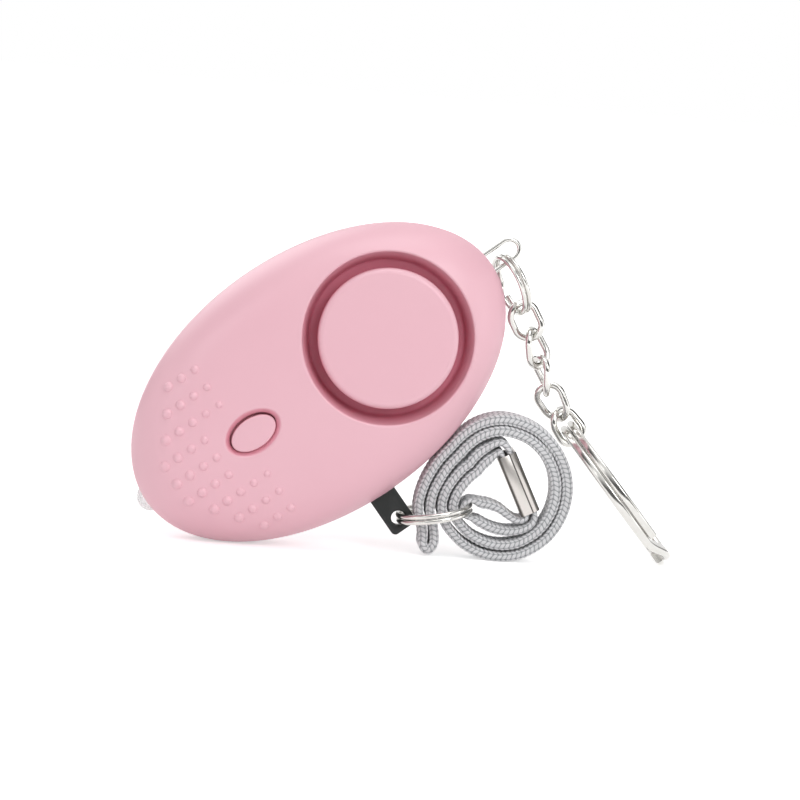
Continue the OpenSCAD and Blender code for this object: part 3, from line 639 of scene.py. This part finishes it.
def grip_dots():
    spots, sizes, turns = [], [], []
    for i in range(-4, 5):
        first = max(0, abs(i) - 1)
        for c in range(first, 6):
            if c > 3 and abs(i) < 2:
                continue
            d = DOT_D * (1 - 0.06 * (c - first) - 0.02 * c)
            x, y = DOT_X + c * DOT_STEP[0], i * DOT_STEP[1]
            z, e = float(dome(x, y)), 0.05
            lean = Vector((-(dome(x + e, y) - dome(x - e, y)) / (2 * e),
                           -(dome(x, y + e) - dome(x, y - e)) / (2 * e), 1))
            spots.append((x, y, z))
            sizes += [d / 2 * MM, d / 2 * MM, DOT_RISE * d / DOT_D * MM]
            turns += list((case_place.to_3x3() @ lean.normalized()).to_track_quat("Z", "Y").to_euler())
    mesh = bpy.data.meshes.new("dot_spots")
    mesh.from_pydata([tuple(p) for p in put(spots, case_place)], [], [])
    mesh.attributes.new("size", "FLOAT_VECTOR", "POINT").data.foreach_set("vector", sizes)
    mesh.attributes.new("turn", "FLOAT_VECTOR", "POINT").data.foreach_set("vector", turns)
    shape = dot_shape()
    dots = grow("grip_dots", mesh, BUMPS, bump=shape, finish=CASE)
    bpy.data.objects.remove(shape)
    return dots


dress(grip_dots(), "case", "case_plastic")


def paint_shade_below(obj, place, level):
    """Paints shade on the points below a level of the case: a darker pink for the dimness of the groove or gap."""
    back = place.inverted() @ Matrix.Scale(1 / MM, 4)
    depth = [level - (back @ v.co).z for v in obj.data.vertices]
    obj.data.attributes.new("painted_shade", "FLOAT", "POINT").data.foreach_set("value", np.clip(depth, 0, 1))


# The round sounder cap and the oval button
sounder_place = case_place @ Matrix.Translation((SOUNDER_X, 0, 0))
CAP_EDGE = 1.1
CAP_T = 2.4
cap_profile = [(0, WELL_FLOOR + 0.02), (STEM_R - 0.05, WELL_FLOOR + 0.02), (STEM_R - 0.05, CAP_TOP - CAP_T)]
cap_profile += round_over(CAP_R - 0.3, CAP_TOP - CAP_T + 0.3, 0.3, -90, 0, 4)
cap_profile += round_over(CAP_R - CAP_EDGE, CAP_TOP - CAP_EDGE, CAP_EDGE, 0, 90, 10)
cap_profile += [(r, CAP_TOP) for r in (9.5, 7.0, 4.0, 1.5)] + [(0, CAP_TOP)]
sounder_cap = lathe("sounder_cap_disc", cap_profile, sounder_place, CASE)
# Painted shade: the cap's side below its top gets the darker pink of the groove
paint_shade_below(sounder_cap, sounder_place, CAP_TOP - 0.5)
dress(sounder_cap, "case", "case_plastic", "sounder_cap")

button_place = case_place @ Matrix.Translation((BUTTON_X, -BUTTON_SHIFT, 0))
BUTTON_EDGE = 0.35
button_profile = [(BUTTON_HALF[1], 8.2), (BUTTON_HALF[1], BUTTON_TOP - BUTTON_EDGE - 0.2)]
button_profile += round_over(BUTTON_HALF[1] - BUTTON_EDGE, BUTTON_TOP - BUTTON_EDGE - 0.06, BUTTON_EDGE,
                             0, 78, 7)
button_profile += [(1.7, BUTTON_TOP - 0.03), (1.0, BUTTON_TOP), (0.4, BUTTON_TOP + 0.005)]
button = lathe("press_button", button_profile, button_place, CASE,
               stretch=(BUTTON_HALF[0] - BUTTON_HALF[1], 0.0))
# Painted shade: the button's side in its gap gets a darker pink
paint_shade_below(button, button_place, BUTTON_TOP - 0.4)
dress(button, "button", "case_plastic", "led_button")

# The lamp
lamp_turn = case_place @ Matrix.Translation((LAMP_MID, 0, 0)) @ Matrix.Rotation(math.radians(90), 4, "Y")
lamp_profile = [(0, -LAMP_D / 2)] + round_over(0, 0, LAMP_D / 2, -85, 0, 14)
lamp_profile += [(LAMP_D / 2, 4.2), (2.9, 4.2), (2.9, 5.2), (0, 5.2)]
lamp = lathe("lamp_lens", lamp_profile, lamp_turn, CLEAR, steps=64)
dress(lamp, "case", "lamp_glass", "led_lamp")

# The pull pin


def flat_outline(name, loops, thickness, bevel, place, material):
    """A plate with rounded edges from closed outlines; inner outlines are holes."""
    curve = bpy.data.curves.new(name, "CURVE")
    curve.dimensions = "2D"
    curve.fill_mode = "BOTH"
    curve.extrude = thickness / 2 - bevel
    curve.bevel_depth = bevel
    curve.bevel_resolution = 3
    curve.offset = -bevel
    for loop in loops:
        spline = curve.splines.new("POLY")
        spline.points.add(len(loop) - 1)
        spline.use_cyclic_u = True
        for point, (x, y) in zip(spline.points, loop):
            point.co = (x, y, 0, 1)
    holder = link_to_scene(curve, name + "_curve")
    graph = bpy.context.evaluated_depsgraph_get()
    mesh = bpy.data.meshes.new_from_object(holder.evaluated_get(graph), depsgraph=graph)
    bpy.data.objects.remove(holder)
    mesh.name = name
    face_outwards(mesh, merge=1e-4)
    mesh.transform(Matrix.Diagonal((MM, MM, MM, 1)) @ place)
    mesh.materials.clear()
    mesh.materials.append(material)
    obj = link_to_scene(mesh, name)
    obj.data.polygons.foreach_set("use_smooth", [True] * len(obj.data.polygons))
    mesh.set_sharp_from_angle(angle=math.radians(35))
    return obj


def circle(x, y, r, start=0, end=360, steps=40):
    angles = [math.radians(start + (end - start) * i / steps) for i in range(steps)]
    return [(x + r * math.cos(a), y + r * math.sin(a)) for a in angles]


tab_low = -HALF_WID - TAB_LEN
tab_loop = [(PIN_X + TAB_WID / 2, -HALF_WID + TAB_IN), (PIN_X - TAB_WID / 2, -HALF_WID + TAB_IN)]
tab_loop += circle(PIN_X - TAB_WID / 2 + TAB_R, tab_low + TAB_R, TAB_R, 180, 270, 10)
tab_loop += circle(PIN_X + TAB_WID / 2 - TAB_R, tab_low + TAB_R, TAB_R, 270, 360, 10)
eye_loop = circle(PIN_X, -HALF_WID - EYE_OUT, EYE_D / 2)
tab = flat_outline("pull_tab", [tab_loop, eye_loop], TAB_T, 0.3, case_place, TAB)
dress(tab, "pin", "tab_plastic", "pull_pin")

# Rings, chain and bail


def coil_line(radius, pitch, turn, steps=72):
    """Two turns of a split ring in the xy plane, with a short jog from one to the other."""
    jog = 30
    angles = list(np.linspace(jog, 360, steps)) + list(np.linspace(360, 720, steps + 6)[1:])
    line = []
    for a in angles:
        t = min(1.0, max(0.0, (a - 360) / jog))
        height = (t * t * (3 - 2 * t) - 0.5) * pitch
        b = math.radians(a + turn)
        line.append((radius * math.cos(b), radius * math.sin(b), height))
    return line


def tilt(fall, turn=0.0, back=0.0):
    """Turn about x, then back about z, then down about y, as the chain's pieces hang."""
    return (Matrix.Rotation(math.radians(-fall), 4, "Y") @ Matrix.Rotation(math.radians(back), 4, "Z")
            @ Matrix.Rotation(math.radians(turn), 4, "X"))


def fall_dir(fall, back=CHAIN_BACK):
    return (tilt(fall, 0, back) @ Vector((1, 0, 0)).to_4d()).to_3d()


pull_mid = eye + PULL_RING_R * fall_dir(PULL_RING_RISE, 0)
pull_place = Matrix.Translation(pull_mid) @ tilt(PULL_RING_RISE)
pull_line = put(coil_line(PULL_RING_R, RING_PITCH, PULL_RING_JOG), pull_place)
pull_ring = round_wire("pull_ring_coil", pull_line, RING_WIRE, NICKEL)
dress(pull_ring, "strap", "nickel", "pull_ring")

bail_leg = place_of("bail_ring_swing")
bail_seat = bail_leg + case_y * (BAIL_D / 2 + RING_WIRE / 2 + RING_RUN)
ring_mid = bail_seat + BAIL_RING_R * fall_dir(BAIL_RING_FALL)
ring_place = Matrix.Translation(ring_mid) @ tilt(BAIL_RING_FALL, BAIL_RING_TURN, CHAIN_BACK)
ring_line = put(coil_line(BAIL_RING_R, RING_PITCH, BAIL_RING_JOG), ring_place)
bail_ring = round_wire("bail_ring_coil", ring_line, RING_WIRE, NICKEL)
dress(bail_ring, "bail_ring", "nickel", "bail_ring")

BAIL_FOOT_X = 31.8
bow_x = BAIL_TIP - BAIL_D / 2 - BAIL_GAP / 2
bail_line = [(BAIL_FOOT_X, -BAIL_GAP / 2 - 2.6, 0), (BAIL_FOOT_X, -BAIL_GAP / 2 - 0.8, 0)]
bail_line += [(x, y, 0) for x, y in circle(BAIL_FOOT_X + 0.8, -BAIL_GAP / 2 - 0.8, 0.8, 180, 90, 6)]
bail_line += [(x, -BAIL_GAP / 2, 0) for x in np.linspace(BAIL_FOOT_X + 0.8, bow_x, 8)]
bail_line += [(x, y, 0) for x, y in circle(bow_x, 0, BAIL_GAP / 2, -90, 90, 24)][1:]
bail_line += [(x, BAIL_GAP / 2, 0) for x in np.linspace(bow_x, BAIL_FOOT_X + 0.8, 8)]
bail_line += [(x, y, 0) for x, y in circle(BAIL_FOOT_X + 0.8, BAIL_GAP / 2 + 0.8, 0.8, -90, -180, 6)][1:]
bail_line += [(BAIL_FOOT_X, BAIL_GAP / 2 + 0.8, 0), (BAIL_FOOT_X, BAIL_GAP / 2 + 2.6, 0)]
bail = round_wire("bail_wire", put(bail_line, case_place), BAIL_D, NICKEL)
dress(bail, "case", "nickel", "bail")


def link_line(steps=28):
    """A closed link along x, twisted about x so that its two bows are turned apart."""
    line = []
    shift = LINK_HALF - LINK_BOW_R
    for side in (1, -1):
        for i in range(steps):
            a = math.radians((-90 if side > 0 else 90) + i * 180 / (steps - 1))
            x, y = LINK_BOW_R * math.cos(a) + side * shift, LINK_BOW_R * math.sin(a)
            b = math.radians(LINK_TWIST * x / LINK_HALF)
            line.append((x, y * math.cos(b), y * math.sin(b)))
    return line


for k in range(5):
    end = place_of(f"link_{k + 2}_swing" if k < 4 else "key_ring_swing")
    link_mid = end - LINK_HALF * fall_dir(LINK_FALLS[k])
    link_place = Matrix.Translation(link_mid) @ tilt(LINK_FALLS[k], LINK_TURNS[k], CHAIN_BACK)
    link = round_wire(f"twist_link_{k + 1}", put(link_line(), link_place), LINK_WIRE, NICKEL, closed=True)
    dress(link, f"link_{k + 1}", "nickel", f"chain_link_{k + 1}")

key_dir = Vector((0, 1, 0)).cross(key_up)
key_place = Matrix((key_dir, (0, 1, 0), key_up)).transposed().to_4x4()
key_place.translation = key_mid
key_line = coil_line(KEY_R, KEY_PITCH, KEY_RING_JOG, 120)
key_ring = grow("key_ring_coil", edge_line(key_line), FLAT_WIRE, wire_width=KEY_WIRE[0],
                wire_thickness=KEY_WIRE[1], edge_radius=KEY_ROUND, finish=NICKEL)
key_ring.data.transform(Matrix.Diagonal((MM, MM, MM, 1)) @ key_place)
dress(key_ring, "key_ring", "nickel", "key_ring")

# The wrist strap: route in the plane of the roll, as (x, z) from its middle
ROLL_TURNS = [(110, 5.3), (125, 4.8), (141, 4.5), (160, 5), (180, 5.95), (195, 7.1), (207, 8), (220, 8.65),
              (240, 9), (255, 9.35), (270, 9.7), (285, 10.05), (300, 10.3), (320, 10.45), (340, 10.45),
              (360, 10.45), (380, 10.45), (400, 10.4), (420, 10.4), (440, 10.3), (455, 10.15), (470, 9.75),
              (485, 9.2), (501, 8.85), (520, 9.3), (540, 10.35)]
FOLD = [(-11.05, -2.4), (-11.1, -4.9), (-10.4, -7), (-10, -9), (-10.1, -10.5), (-11, -11.5), (-11.9, -10.5),
        (-11.95, -9), (-12.4, -7), (-13.1, -4.9), (-13.05, -2.4)]
LOW_RUN = [(7.1, -4.6), (6.55, -5.8), (5.2, -6.7), (3.3, -7.2), (1.2, -7.2), (-0.8, -6.7), (-2.6, -5.9)]
HIGH_RUN = [(-2.4, -2.7), (-0.8, -2.9), (1, -3.5), (2.7, -4.6), (4, -5.15), (5.15, -5)]
INNER_START = [(0.1, 6.55), (-0.75, 6)]
OUTER_START = [(1.2, 7.6), (0.1, 8.2), (-1.3, 7.75)]
END_GAP = 0.75
LOOP_T = 0.85


def strap_route():
    """Rows of x, z and thickness, from one end in the crimp to the other."""
    along = (CRIMP_HIGH - CRIMP_LOW) / np.linalg.norm(CRIMP_HIGH - CRIMP_LOW)
    side = np.array([along[1], -along[0]])
    pressed = (CRIMP_IN - STRAP_GAP - 2 * WIRE_RUN) / 2
    off = (pressed + STRAP_GAP) / 2 * side
    middle = (CRIMP_LOW + CRIMP_HIGH) / 2
    inner = np.array([[r * math.cos(math.radians(a)), r * math.sin(math.radians(a))] for a, r in ROLL_TURNS])
    last = len(inner) - 1
    step = np.array([inner[min(last, k + 1)] - inner[max(0, k - 1)] for k in range(last + 1)])
    outward = np.stack([step[:, 1], -step[:, 0]], 1) / np.linalg.norm(step, axis=1)[:, None]
    outer = inner + STRAP_PITCH * outward
    rise = math.radians(PULL_RING_RISE)
    far = pull_mid + PULL_RING_R * Vector((math.cos(rise), 0, math.sin(rise))) - roll_mid
    loop_r = math.hypot(RING_WIRE / 2, (RING_PITCH + RING_WIRE) / 2) + WIRE_RUN + LOOP_T / 2
    loop = [(far.x + loop_r * math.cos(math.radians(a)), far.z + loop_r * math.sin(math.radians(a)))
            for a in range(-90, -271, -30)]
    rows = [(middle + off - END_GAP * along, pressed), (CRIMP_LOW + off + 2 * along, pressed)]
    rows += [(CRIMP_LOW + off, pressed)]
    rows += [(p, min(STRAP_T, 1 + 0.1 * i)) for i, p in enumerate(LOW_RUN)]
    rows += [(p, LOOP_T) for p in loop]
    rows += [(p, min(STRAP_T, 1 + 0.1 * (len(HIGH_RUN) - 1 - i))) for i, p in enumerate(HIGH_RUN)]
    rows += [(CRIMP_LOW - off + s * (CRIMP_HIGH - CRIMP_LOW), pressed) for s in (0, 0.25, 0.5, 0.75, 1)]
    rows += [(p, 1.0) for p in INNER_START]
    rows += [(p, STRAP_T) for p in inner]
    rows += [(p, STRAP_T) for p in FOLD]
    rows += [(p, STRAP_T) for p in outer[::-1]]
    rows += [(p, 1.1) for p in reversed(OUTER_START)]
    rows += [(CRIMP_HIGH + off, pressed), (CRIMP_HIGH + off - 2 * along, pressed)]
    rows += [(middle + off + END_GAP * along, pressed)]
    return np.array([[p[0], p[1], t] for p, t in rows])


def smooth_line(rows, steps=12):
    """A curve through the rows; the last column runs straight between them."""
    padded = np.concatenate([rows[:1], rows, rows[-1:]])
    out = []
    for i in range(len(rows) - 1):
        p0, p1, p2, p3 = padded[i:i + 4]
        for s in range(steps):
            t = s / steps
            p = 0.5 * (2 * p1 + (p2 - p0) * t + (2 * p0 - 5 * p1 + 4 * p2 - p3) * t * t
                       + (3 * p1 - p0 - 3 * p2 + p3) * t ** 3)
            p[2] = p1[2] + (p2[2] - p1[2]) * t
            out.append(p)
    return np.array(out + [rows[-1]])


RING_STEP = 0.18
SECTION_POINTS = 70
STITCH_LEN = 0.85
STITCH_COLS = 14
STITCH_RISE = 0.15
STRAP_SWELL = 0.14
STRAP_SNUG = 0.28


def braid_section(width, thick, count):
    """Points, outward directions and places round a flat section with rounded edges."""
    r = min(0.62, thick * 0.42)
    flats = [(width - 2 * r), (thick - 2 * r)]
    arc = math.pi * r / 2
    total = 2 * sum(flats) + 4 * arc
    pts, outs = [], []
    for i in range(count):
        d = total * i / count
        d = (d + flats[0] / 2) % total
        for k in range(4):
            flat = flats[k % 2]
            turn = k * math.pi / 2
            ux, uy = math.cos(turn), math.sin(turn)
            nx, ny = -uy, ux
            half = (flats[0] / 2, flats[1] / 2)
            if d <= flat:
                cx = -half[k % 2] + d
                level = half[1 - k % 2] + r
                pts.append((ux * cx - nx * level, uy * cx - ny * level))
                outs.append((-nx, -ny))
                break
            d -= flat
            if d <= arc:
                a = d / r
                cx, level = half[k % 2], half[1 - k % 2]
                ox, oy = -nx * math.cos(a) + ux * math.sin(a), -ny * math.cos(a) + uy * math.sin(a)
                pts.append((ux * cx - nx * level + r * ox, uy * cx - ny * level + r * oy))
                outs.append((ox, oy))
                break
            d -= arc
    return np.array(pts), np.array(outs)


def wrist_strap():
    line = smooth_line(strap_route())
    far = np.concatenate([[0], np.cumsum(np.linalg.norm(np.diff(line[:, :2], axis=0), axis=1))])
    length = far[-1]
    count = int(length / RING_STEP)
    at = np.linspace(0, length, count)
    x, z, t = (np.interp(at, far, line[:, k]) for k in range(3))
    dx, dz = np.gradient(x, at), np.gradient(z, at)
    size = np.hypot(dx, dz)
    nx, nz = -dz / size, dx / size
    loose = np.clip((t - 0.9) / 0.5, 0, 1)
    swell = (STRAP_SWELL + STRAP_SNUG * np.clip((x + z) / 12, 0, 1)) * loose
    around = np.arange(SECTION_POINTS) / SECTION_POINTS
    col = around * STITCH_COLS
    within = col % 1 - 0.5
    lean = np.where(np.floor(col).astype(int) % 2 == 0, 1.0, -1.0)
    points = []
    for i in range(count):
        pts, outs = braid_section(STRAP_WID - 0.2, t[i] + swell[i], SECTION_POINTS)
        phase = at[i] / STITCH_LEN + lean * within * STITCH_LEAN
        ridge = np.abs(np.cos(math.pi * phase)) ** 0.8 * np.cos(math.pi * within) ** 0.45
        off = STITCH_RISE * (ridge - 0.62) * (0.35 + 0.65 * loose[i])
        w, d = pts[:, 0] + outs[:, 0] * off, pts[:, 1] + outs[:, 1] * off
        points.append(np.stack([x[i] + d * nx[i], w, z[i] + d * nz[i]], 1))
    points = np.concatenate(points) + np.array(roll_mid)
    faces, uvs = [], []
    m = SECTION_POINTS
    for i in range(count - 1):
        for j in range(m):
            k = (j + 1) % m
            faces.append((i * m + j, i * m + k, (i + 1) * m + k, (i + 1) * m + j))
            a, b = j / m * STITCH_COLS, (j + 1) / m * STITCH_COLS
            s, e = at[i] / STITCH_LEN, at[i + 1] / STITCH_LEN
            uvs += [a, s, b, s, b, e, a, e]
    faces += [tuple(reversed(range(m))), tuple(range((count - 1) * m, count * m))]
    uvs += [0.0] * (4 * m)
    obj = mesh_piece("wrist_strap_braid", points * MM, faces, BRAID)
    face_outwards(obj.data)
    yarn = obj.data.uv_layers.new(name="yarn")
    yarn.data.foreach_set("uv", uvs)
    path = np.stack([x, np.zeros(count), z], 1) + np.array(roll_mid)
    return obj, path * MM, length * MM


strap, strap_path, strap_length = wrist_strap()
dress(strap, "strap", "strap_fabric", "wrist_strap")

# The crimp: a strip folded round both runs, with its free edge along the front
crimp_len = float(np.linalg.norm(CRIMP_HIGH - CRIMP_LOW))
crimp_dir = Vector(((CRIMP_HIGH - CRIMP_LOW)[0], 0, (CRIMP_HIGH - CRIMP_LOW)[1])).normalized()
crimp_side = Vector((crimp_dir.z, 0, -crimp_dir.x))
crimp_mid = roll_mid + Vector((*((CRIMP_LOW + CRIMP_HIGH) / 2), 0)).xzy
crimp_place = Matrix((crimp_side, (0, 1, 0), crimp_dir)).transposed().to_4x4()
crimp_place.translation = crimp_mid
SEAM = 0.42
SEAM_DIP = 0.28


def crimp_loop(inset):
    """Section of the strip about the braid, as (across, depth, painted shade): its free edge laps along the front.
    """
    hx, hy, r = CRIMP_IN / 2 + CRIMP_WALL - inset, STRAP_WID / 2 + 0.05 + CRIMP_WALL - inset, 0.45
    loop = [(hx, hy - r - 0.15, 0.0)] + [(x, y, 1.0) for x, y in circle(hx - r, hy - r, r, 5, 90, 6)]
    loop += [(hx - r - 0.15, hy, 0.0), (r - hx + 0.15, hy, 0.0)]
    loop += [(x, y, 1.0) for x, y in circle(r - hx, hy - r, r, 95, 180, 6)]
    loop += [(-hx, hy - r - 0.15, 0.0), (-hx, r - hy + 0.15, 0.0)]
    loop += [(x, y, 1.0) for x, y in circle(r - hx, r - hy, r, 185, 265, 6)]
    loop += [(r - hx + 0.12, -hy, 0.0), (SEAM - 0.12, -hy, 0.0), (SEAM - 0.04, -hy + 0.05, 0.8)]
    loop += [(SEAM, -hy + SEAM_DIP, 1.0), (SEAM + 0.09, -hy + SEAM_DIP, 1.0), (SEAM + 0.13, -hy + 0.1, 0.8)]
    loop += [(SEAM + 0.2, -hy + 0.07, 0.0), (hx - r - 0.2, -hy + 0.07, 0.0)]
    loop += [(x, y + 0.07, 1.0) for x, y in circle(hx - r, r - hy, r, 275, 355, 6)]
    return loop + [(hx, r - hy + 0.25, 0.0)]


def crimp_strip():
    half, soft = crimp_len / 2, 0.15
    sections = []
    levels = [(-half, soft), (-half + soft * 0.3, soft * 0.3), (-half + soft, 0), (half - soft, 0)]
    levels += [(half - soft * 0.3, soft * 0.3), (half, soft)]
    levels += [(half - 0.05, CRIMP_WALL), (0.05 - half, CRIMP_WALL)]
    for z, inset in levels:
        sections.append([(x, y, z) for x, y, bend in crimp_loop(inset)])
    count, total = len(sections[0]), len(sections)
    points = [p for s in sections for p in s]
    faces = []
    for k in range(total):
        a, b = k * count, ((k + 1) % total) * count
        for i in range(count):
            j = (i + 1) % count
            faces.append((a + i, a + j, b + j, b + i))
    obj = mesh_piece("strap_crimp_strip", put(points, crimp_place), faces, CRIMP)
    # Painted shade at the folds and in the seam's crease
    edge_shades = [bend for x, y, bend in crimp_loop(0)] * total
    obj.data.attributes.new("bend", "FLOAT", "POINT").data.foreach_set("value", edge_shades)
    face_outwards(obj.data)
    obj.data.set_sharp_from_angle(angle=math.radians(40))
    return obj


crimp = dress(crimp_strip(), "strap", "crimp_steel", "strap_crimp")

# Finishes of the pieces that keep their own solids
FINISHES = {
    CASE: ["rear_shell", "battery_door"],
    STEEL: ["door_screw", "case_screws", "button_switch", "battery_cells"],
    FOAM: ["sounder_gasket"],
    BRASS: ["piezo_disc", "cell_contacts", "door_contacts", "switch_leaves"],
    WHITE_CERAMIC: ["piezo_ceramic"],
    DARK: ["sounder_retainer", "switch_plunger", "driver_chip", "boost_coil"],
    NICKEL: ["led_leads"],
    BOARD: ["circuit_board"],
    IVORY: ["pin_socket"],
}
for finish, names in FINISHES.items():
    for name in names:
        mesh = frame["nodes"][name].data
        mesh.materials.clear()
        mesh.materials.append(finish)

# Floor, light and camera


def stage_floor():
    mesh = bpy.data.meshes.new("floor")
    size = 1.5
    corners = [(-size, -size, 0), (size, -size, 0), (size, size, 0), (-size, size, 0)]
    mesh.from_pydata(corners, [], [(0, 1, 2, 3)])
    mat = bpy.data.materials.new("pale_floor")
    mat.use_nodes = True
    tree = mat.node_tree
    tree.nodes.clear()
    out = add(tree, "ShaderNodeOutputMaterial")
    paper = add(tree, "ShaderNodeBsdfDiffuse", {"Color": (0.9, 0.9, 0.9, 1)})
    path = add(tree, "ShaderNodeLightPath")
    seen = figure(tree, "MAXIMUM", path.outputs["Is Camera Ray"], path.outputs["Is Glossy Ray"])
    seen_all = figure(tree, "MAXIMUM", seen, path.outputs["Is Transmission Ray"])
    spot = add(tree, "ShaderNodeTexCoord")
    far = add(tree, "ShaderNodeVectorMath", {"operation": "LENGTH"})
    tree.links.new(spot.outputs["Object"], far.inputs[0])
    fade = add(tree, "ShaderNodeMapRange",
               {"From Min": 0.1, "From Max": 0.4, "To Min": FLOOR_LIFT, "To Max": 1.0},
               Value=far.outputs["Value"])
    lift = figure(tree, "MULTIPLY", seen_all, fade.outputs["Result"])
    glow = add(tree, "ShaderNodeEmission", Strength=lift)
    both = add(tree, "ShaderNodeAddShader")
    tree.links.new(paper.outputs["BSDF"], both.inputs[0])
    tree.links.new(glow.outputs["Emission"], both.inputs[1])
    tree.links.new(both.outputs["Shader"], out.inputs["Surface"])
    mesh.materials.append(mat)
    return link_to_scene(mesh, "pale_floor")


FLOOR_LIFT = 0.5
WORLD_LIGHT = 0.4
GLINT_DARK = 0.12
CARD_SIDE = 0.72
stage_floor()

world = bpy.data.worlds.new("studio")
bpy.context.scene.world = world
world.use_nodes = True
sky = world.node_tree
sky.nodes.clear()
WHITE = (1.0, 1.0, 1.0, 1.0)
sky_out = add(sky, "ShaderNodeOutputWorld")
rays = add(sky, "ShaderNodeLightPath")
side = add(sky, "ShaderNodeSeparateXYZ", Vector=add(sky, "ShaderNodeTexCoord").outputs["Generated"])
front = add(sky, "ShaderNodeMapRange",
            {"From Min": -0.9, "From Max": -0.2, "To Min": GLINT_DARK, "To Max": 1.0},
            Value=side.outputs["Y"])
high = add(sky, "ShaderNodeMapRange", {"From Min": 0.25, "From Max": 0.6, "To Min": 0.0, "To Max": 1.0},
           Value=side.outputs["Z"])
level = figure(sky, "MAXIMUM", front.outputs["Result"], high.outputs["Result"])
across = figure(sky, "ABSOLUTE", side.outputs["X"])
aside = figure(sky, "ABSOLUTE", figure(sky, "SUBTRACT", across, CARD_SIDE))
card = add(sky, "ShaderNodeMapRange",
           {"From Min": 0.1, "From Max": 0.18, "To Min": GLINT_DARK, "To Max": 1.0},
           Value=aside)
ambient = add(sky, "ShaderNodeBackground", {"Color": WHITE, "Strength": WORLD_LIGHT})
mirrored = add(sky, "ShaderNodeBackground", {"Color": WHITE},
               Strength=figure(sky, "MULTIPLY", level, card.outputs["Result"]))
backdrop = add(sky, "ShaderNodeBackground", {"Color": WHITE, "Strength": 1.0})
lit = add(sky, "ShaderNodeMixShader")
sky.links.new(rays.outputs["Is Glossy Ray"], lit.inputs[0])
sky.links.new(ambient.outputs["Background"], lit.inputs[1])
sky.links.new(mirrored.outputs["Background"], lit.inputs[2])
shown = figure(sky, "MAXIMUM", rays.outputs["Is Camera Ray"], rays.outputs["Is Transmission Ray"])
seen_sky = add(sky, "ShaderNodeMixShader")
sky.links.new(shown, seen_sky.inputs[0])
sky.links.new(lit.outputs["Shader"], seen_sky.inputs[1])
sky.links.new(backdrop.outputs["Background"], seen_sky.inputs[2])
sky.links.new(seen_sky.outputs["Shader"], sky_out.inputs["Surface"])


def soft_light(name, place, target, width, height, watts):
    light = bpy.data.lights.new(name, "AREA")
    light.shape = "RECTANGLE"
    light.size, light.size_y = width, height
    light.energy = watts
    obj = bpy.data.objects.new(name, light)
    bpy.context.scene.collection.objects.link(obj)
    obj.location = place
    obj.rotation_euler = (Vector(target) - Vector(place)).to_track_quat("-Z", "Y").to_euler()
    return obj


soft_light("key_softbox", (0.3, -0.6, 0.45), (0, 0, 0.03), 0.35, 0.35, 1.6)
soft_light("right_softbox", (0.6, -0.3, 0.2), (0, 0, 0.03), 0.4, 0.4, 0.65)
soft_light("left_softbox", (-0.6, -0.45, 0.3), (0, 0, 0.03), 0.5, 0.5, 0.9)
soft_light("top_softbox", (0.0, -0.15, 0.8), (0, 0, 0.03), 0.5, 0.4, 1.5)
soft_light("back_softbox", (-0.3, 0.35, 0.4), (0, 0, 0.04), 0.4, 0.4, 0.9)

CAMERA_AZIMUTH = -5.0
CAMERA_ELEVATION = 8.0
CAMERA_ROLL = 5.0
CAMERA_FAR = 600.0
PIXELS_PER_MM = 5.79
CASE_PIXEL = (318.2, 381.2)
FRAME_PIXELS = 800

azimuth, elevation = math.radians(CAMERA_AZIMUTH), math.radians(CAMERA_ELEVATION)
level_far = math.cos(elevation)
toward = Vector((math.sin(azimuth) * level_far, -math.cos(azimuth) * level_far, math.sin(elevation)))
right = Vector((0, 0, 1)).cross(toward).normalized()
up = toward.cross(right)
roll = math.radians(CAMERA_ROLL)
right, up = right * math.cos(roll) + up * math.sin(roll), up * math.cos(roll) - right * math.sin(roll)
middle = FRAME_PIXELS / 2
aim = case_mid + right * (middle - CASE_PIXEL[0]) / PIXELS_PER_MM
aim = aim - up * (middle - CASE_PIXEL[1]) / PIXELS_PER_MM
camera_data = bpy.data.cameras.new("view")
camera_data.sensor_width = 36
camera_data.lens = 36 * PIXELS_PER_MM * CAMERA_FAR / FRAME_PIXELS
camera_data.clip_start = 0.01
camera = bpy.data.objects.new("view", camera_data)
bpy.context.scene.collection.objects.link(camera)
view = Matrix((right, up, toward)).transposed().to_4x4()
view.translation = (aim + toward * CAMERA_FAR) * MM
camera.matrix_world = view
bpy.context.scene.camera = camera
bpy.context.scene.view_settings.view_transform = "Standard"
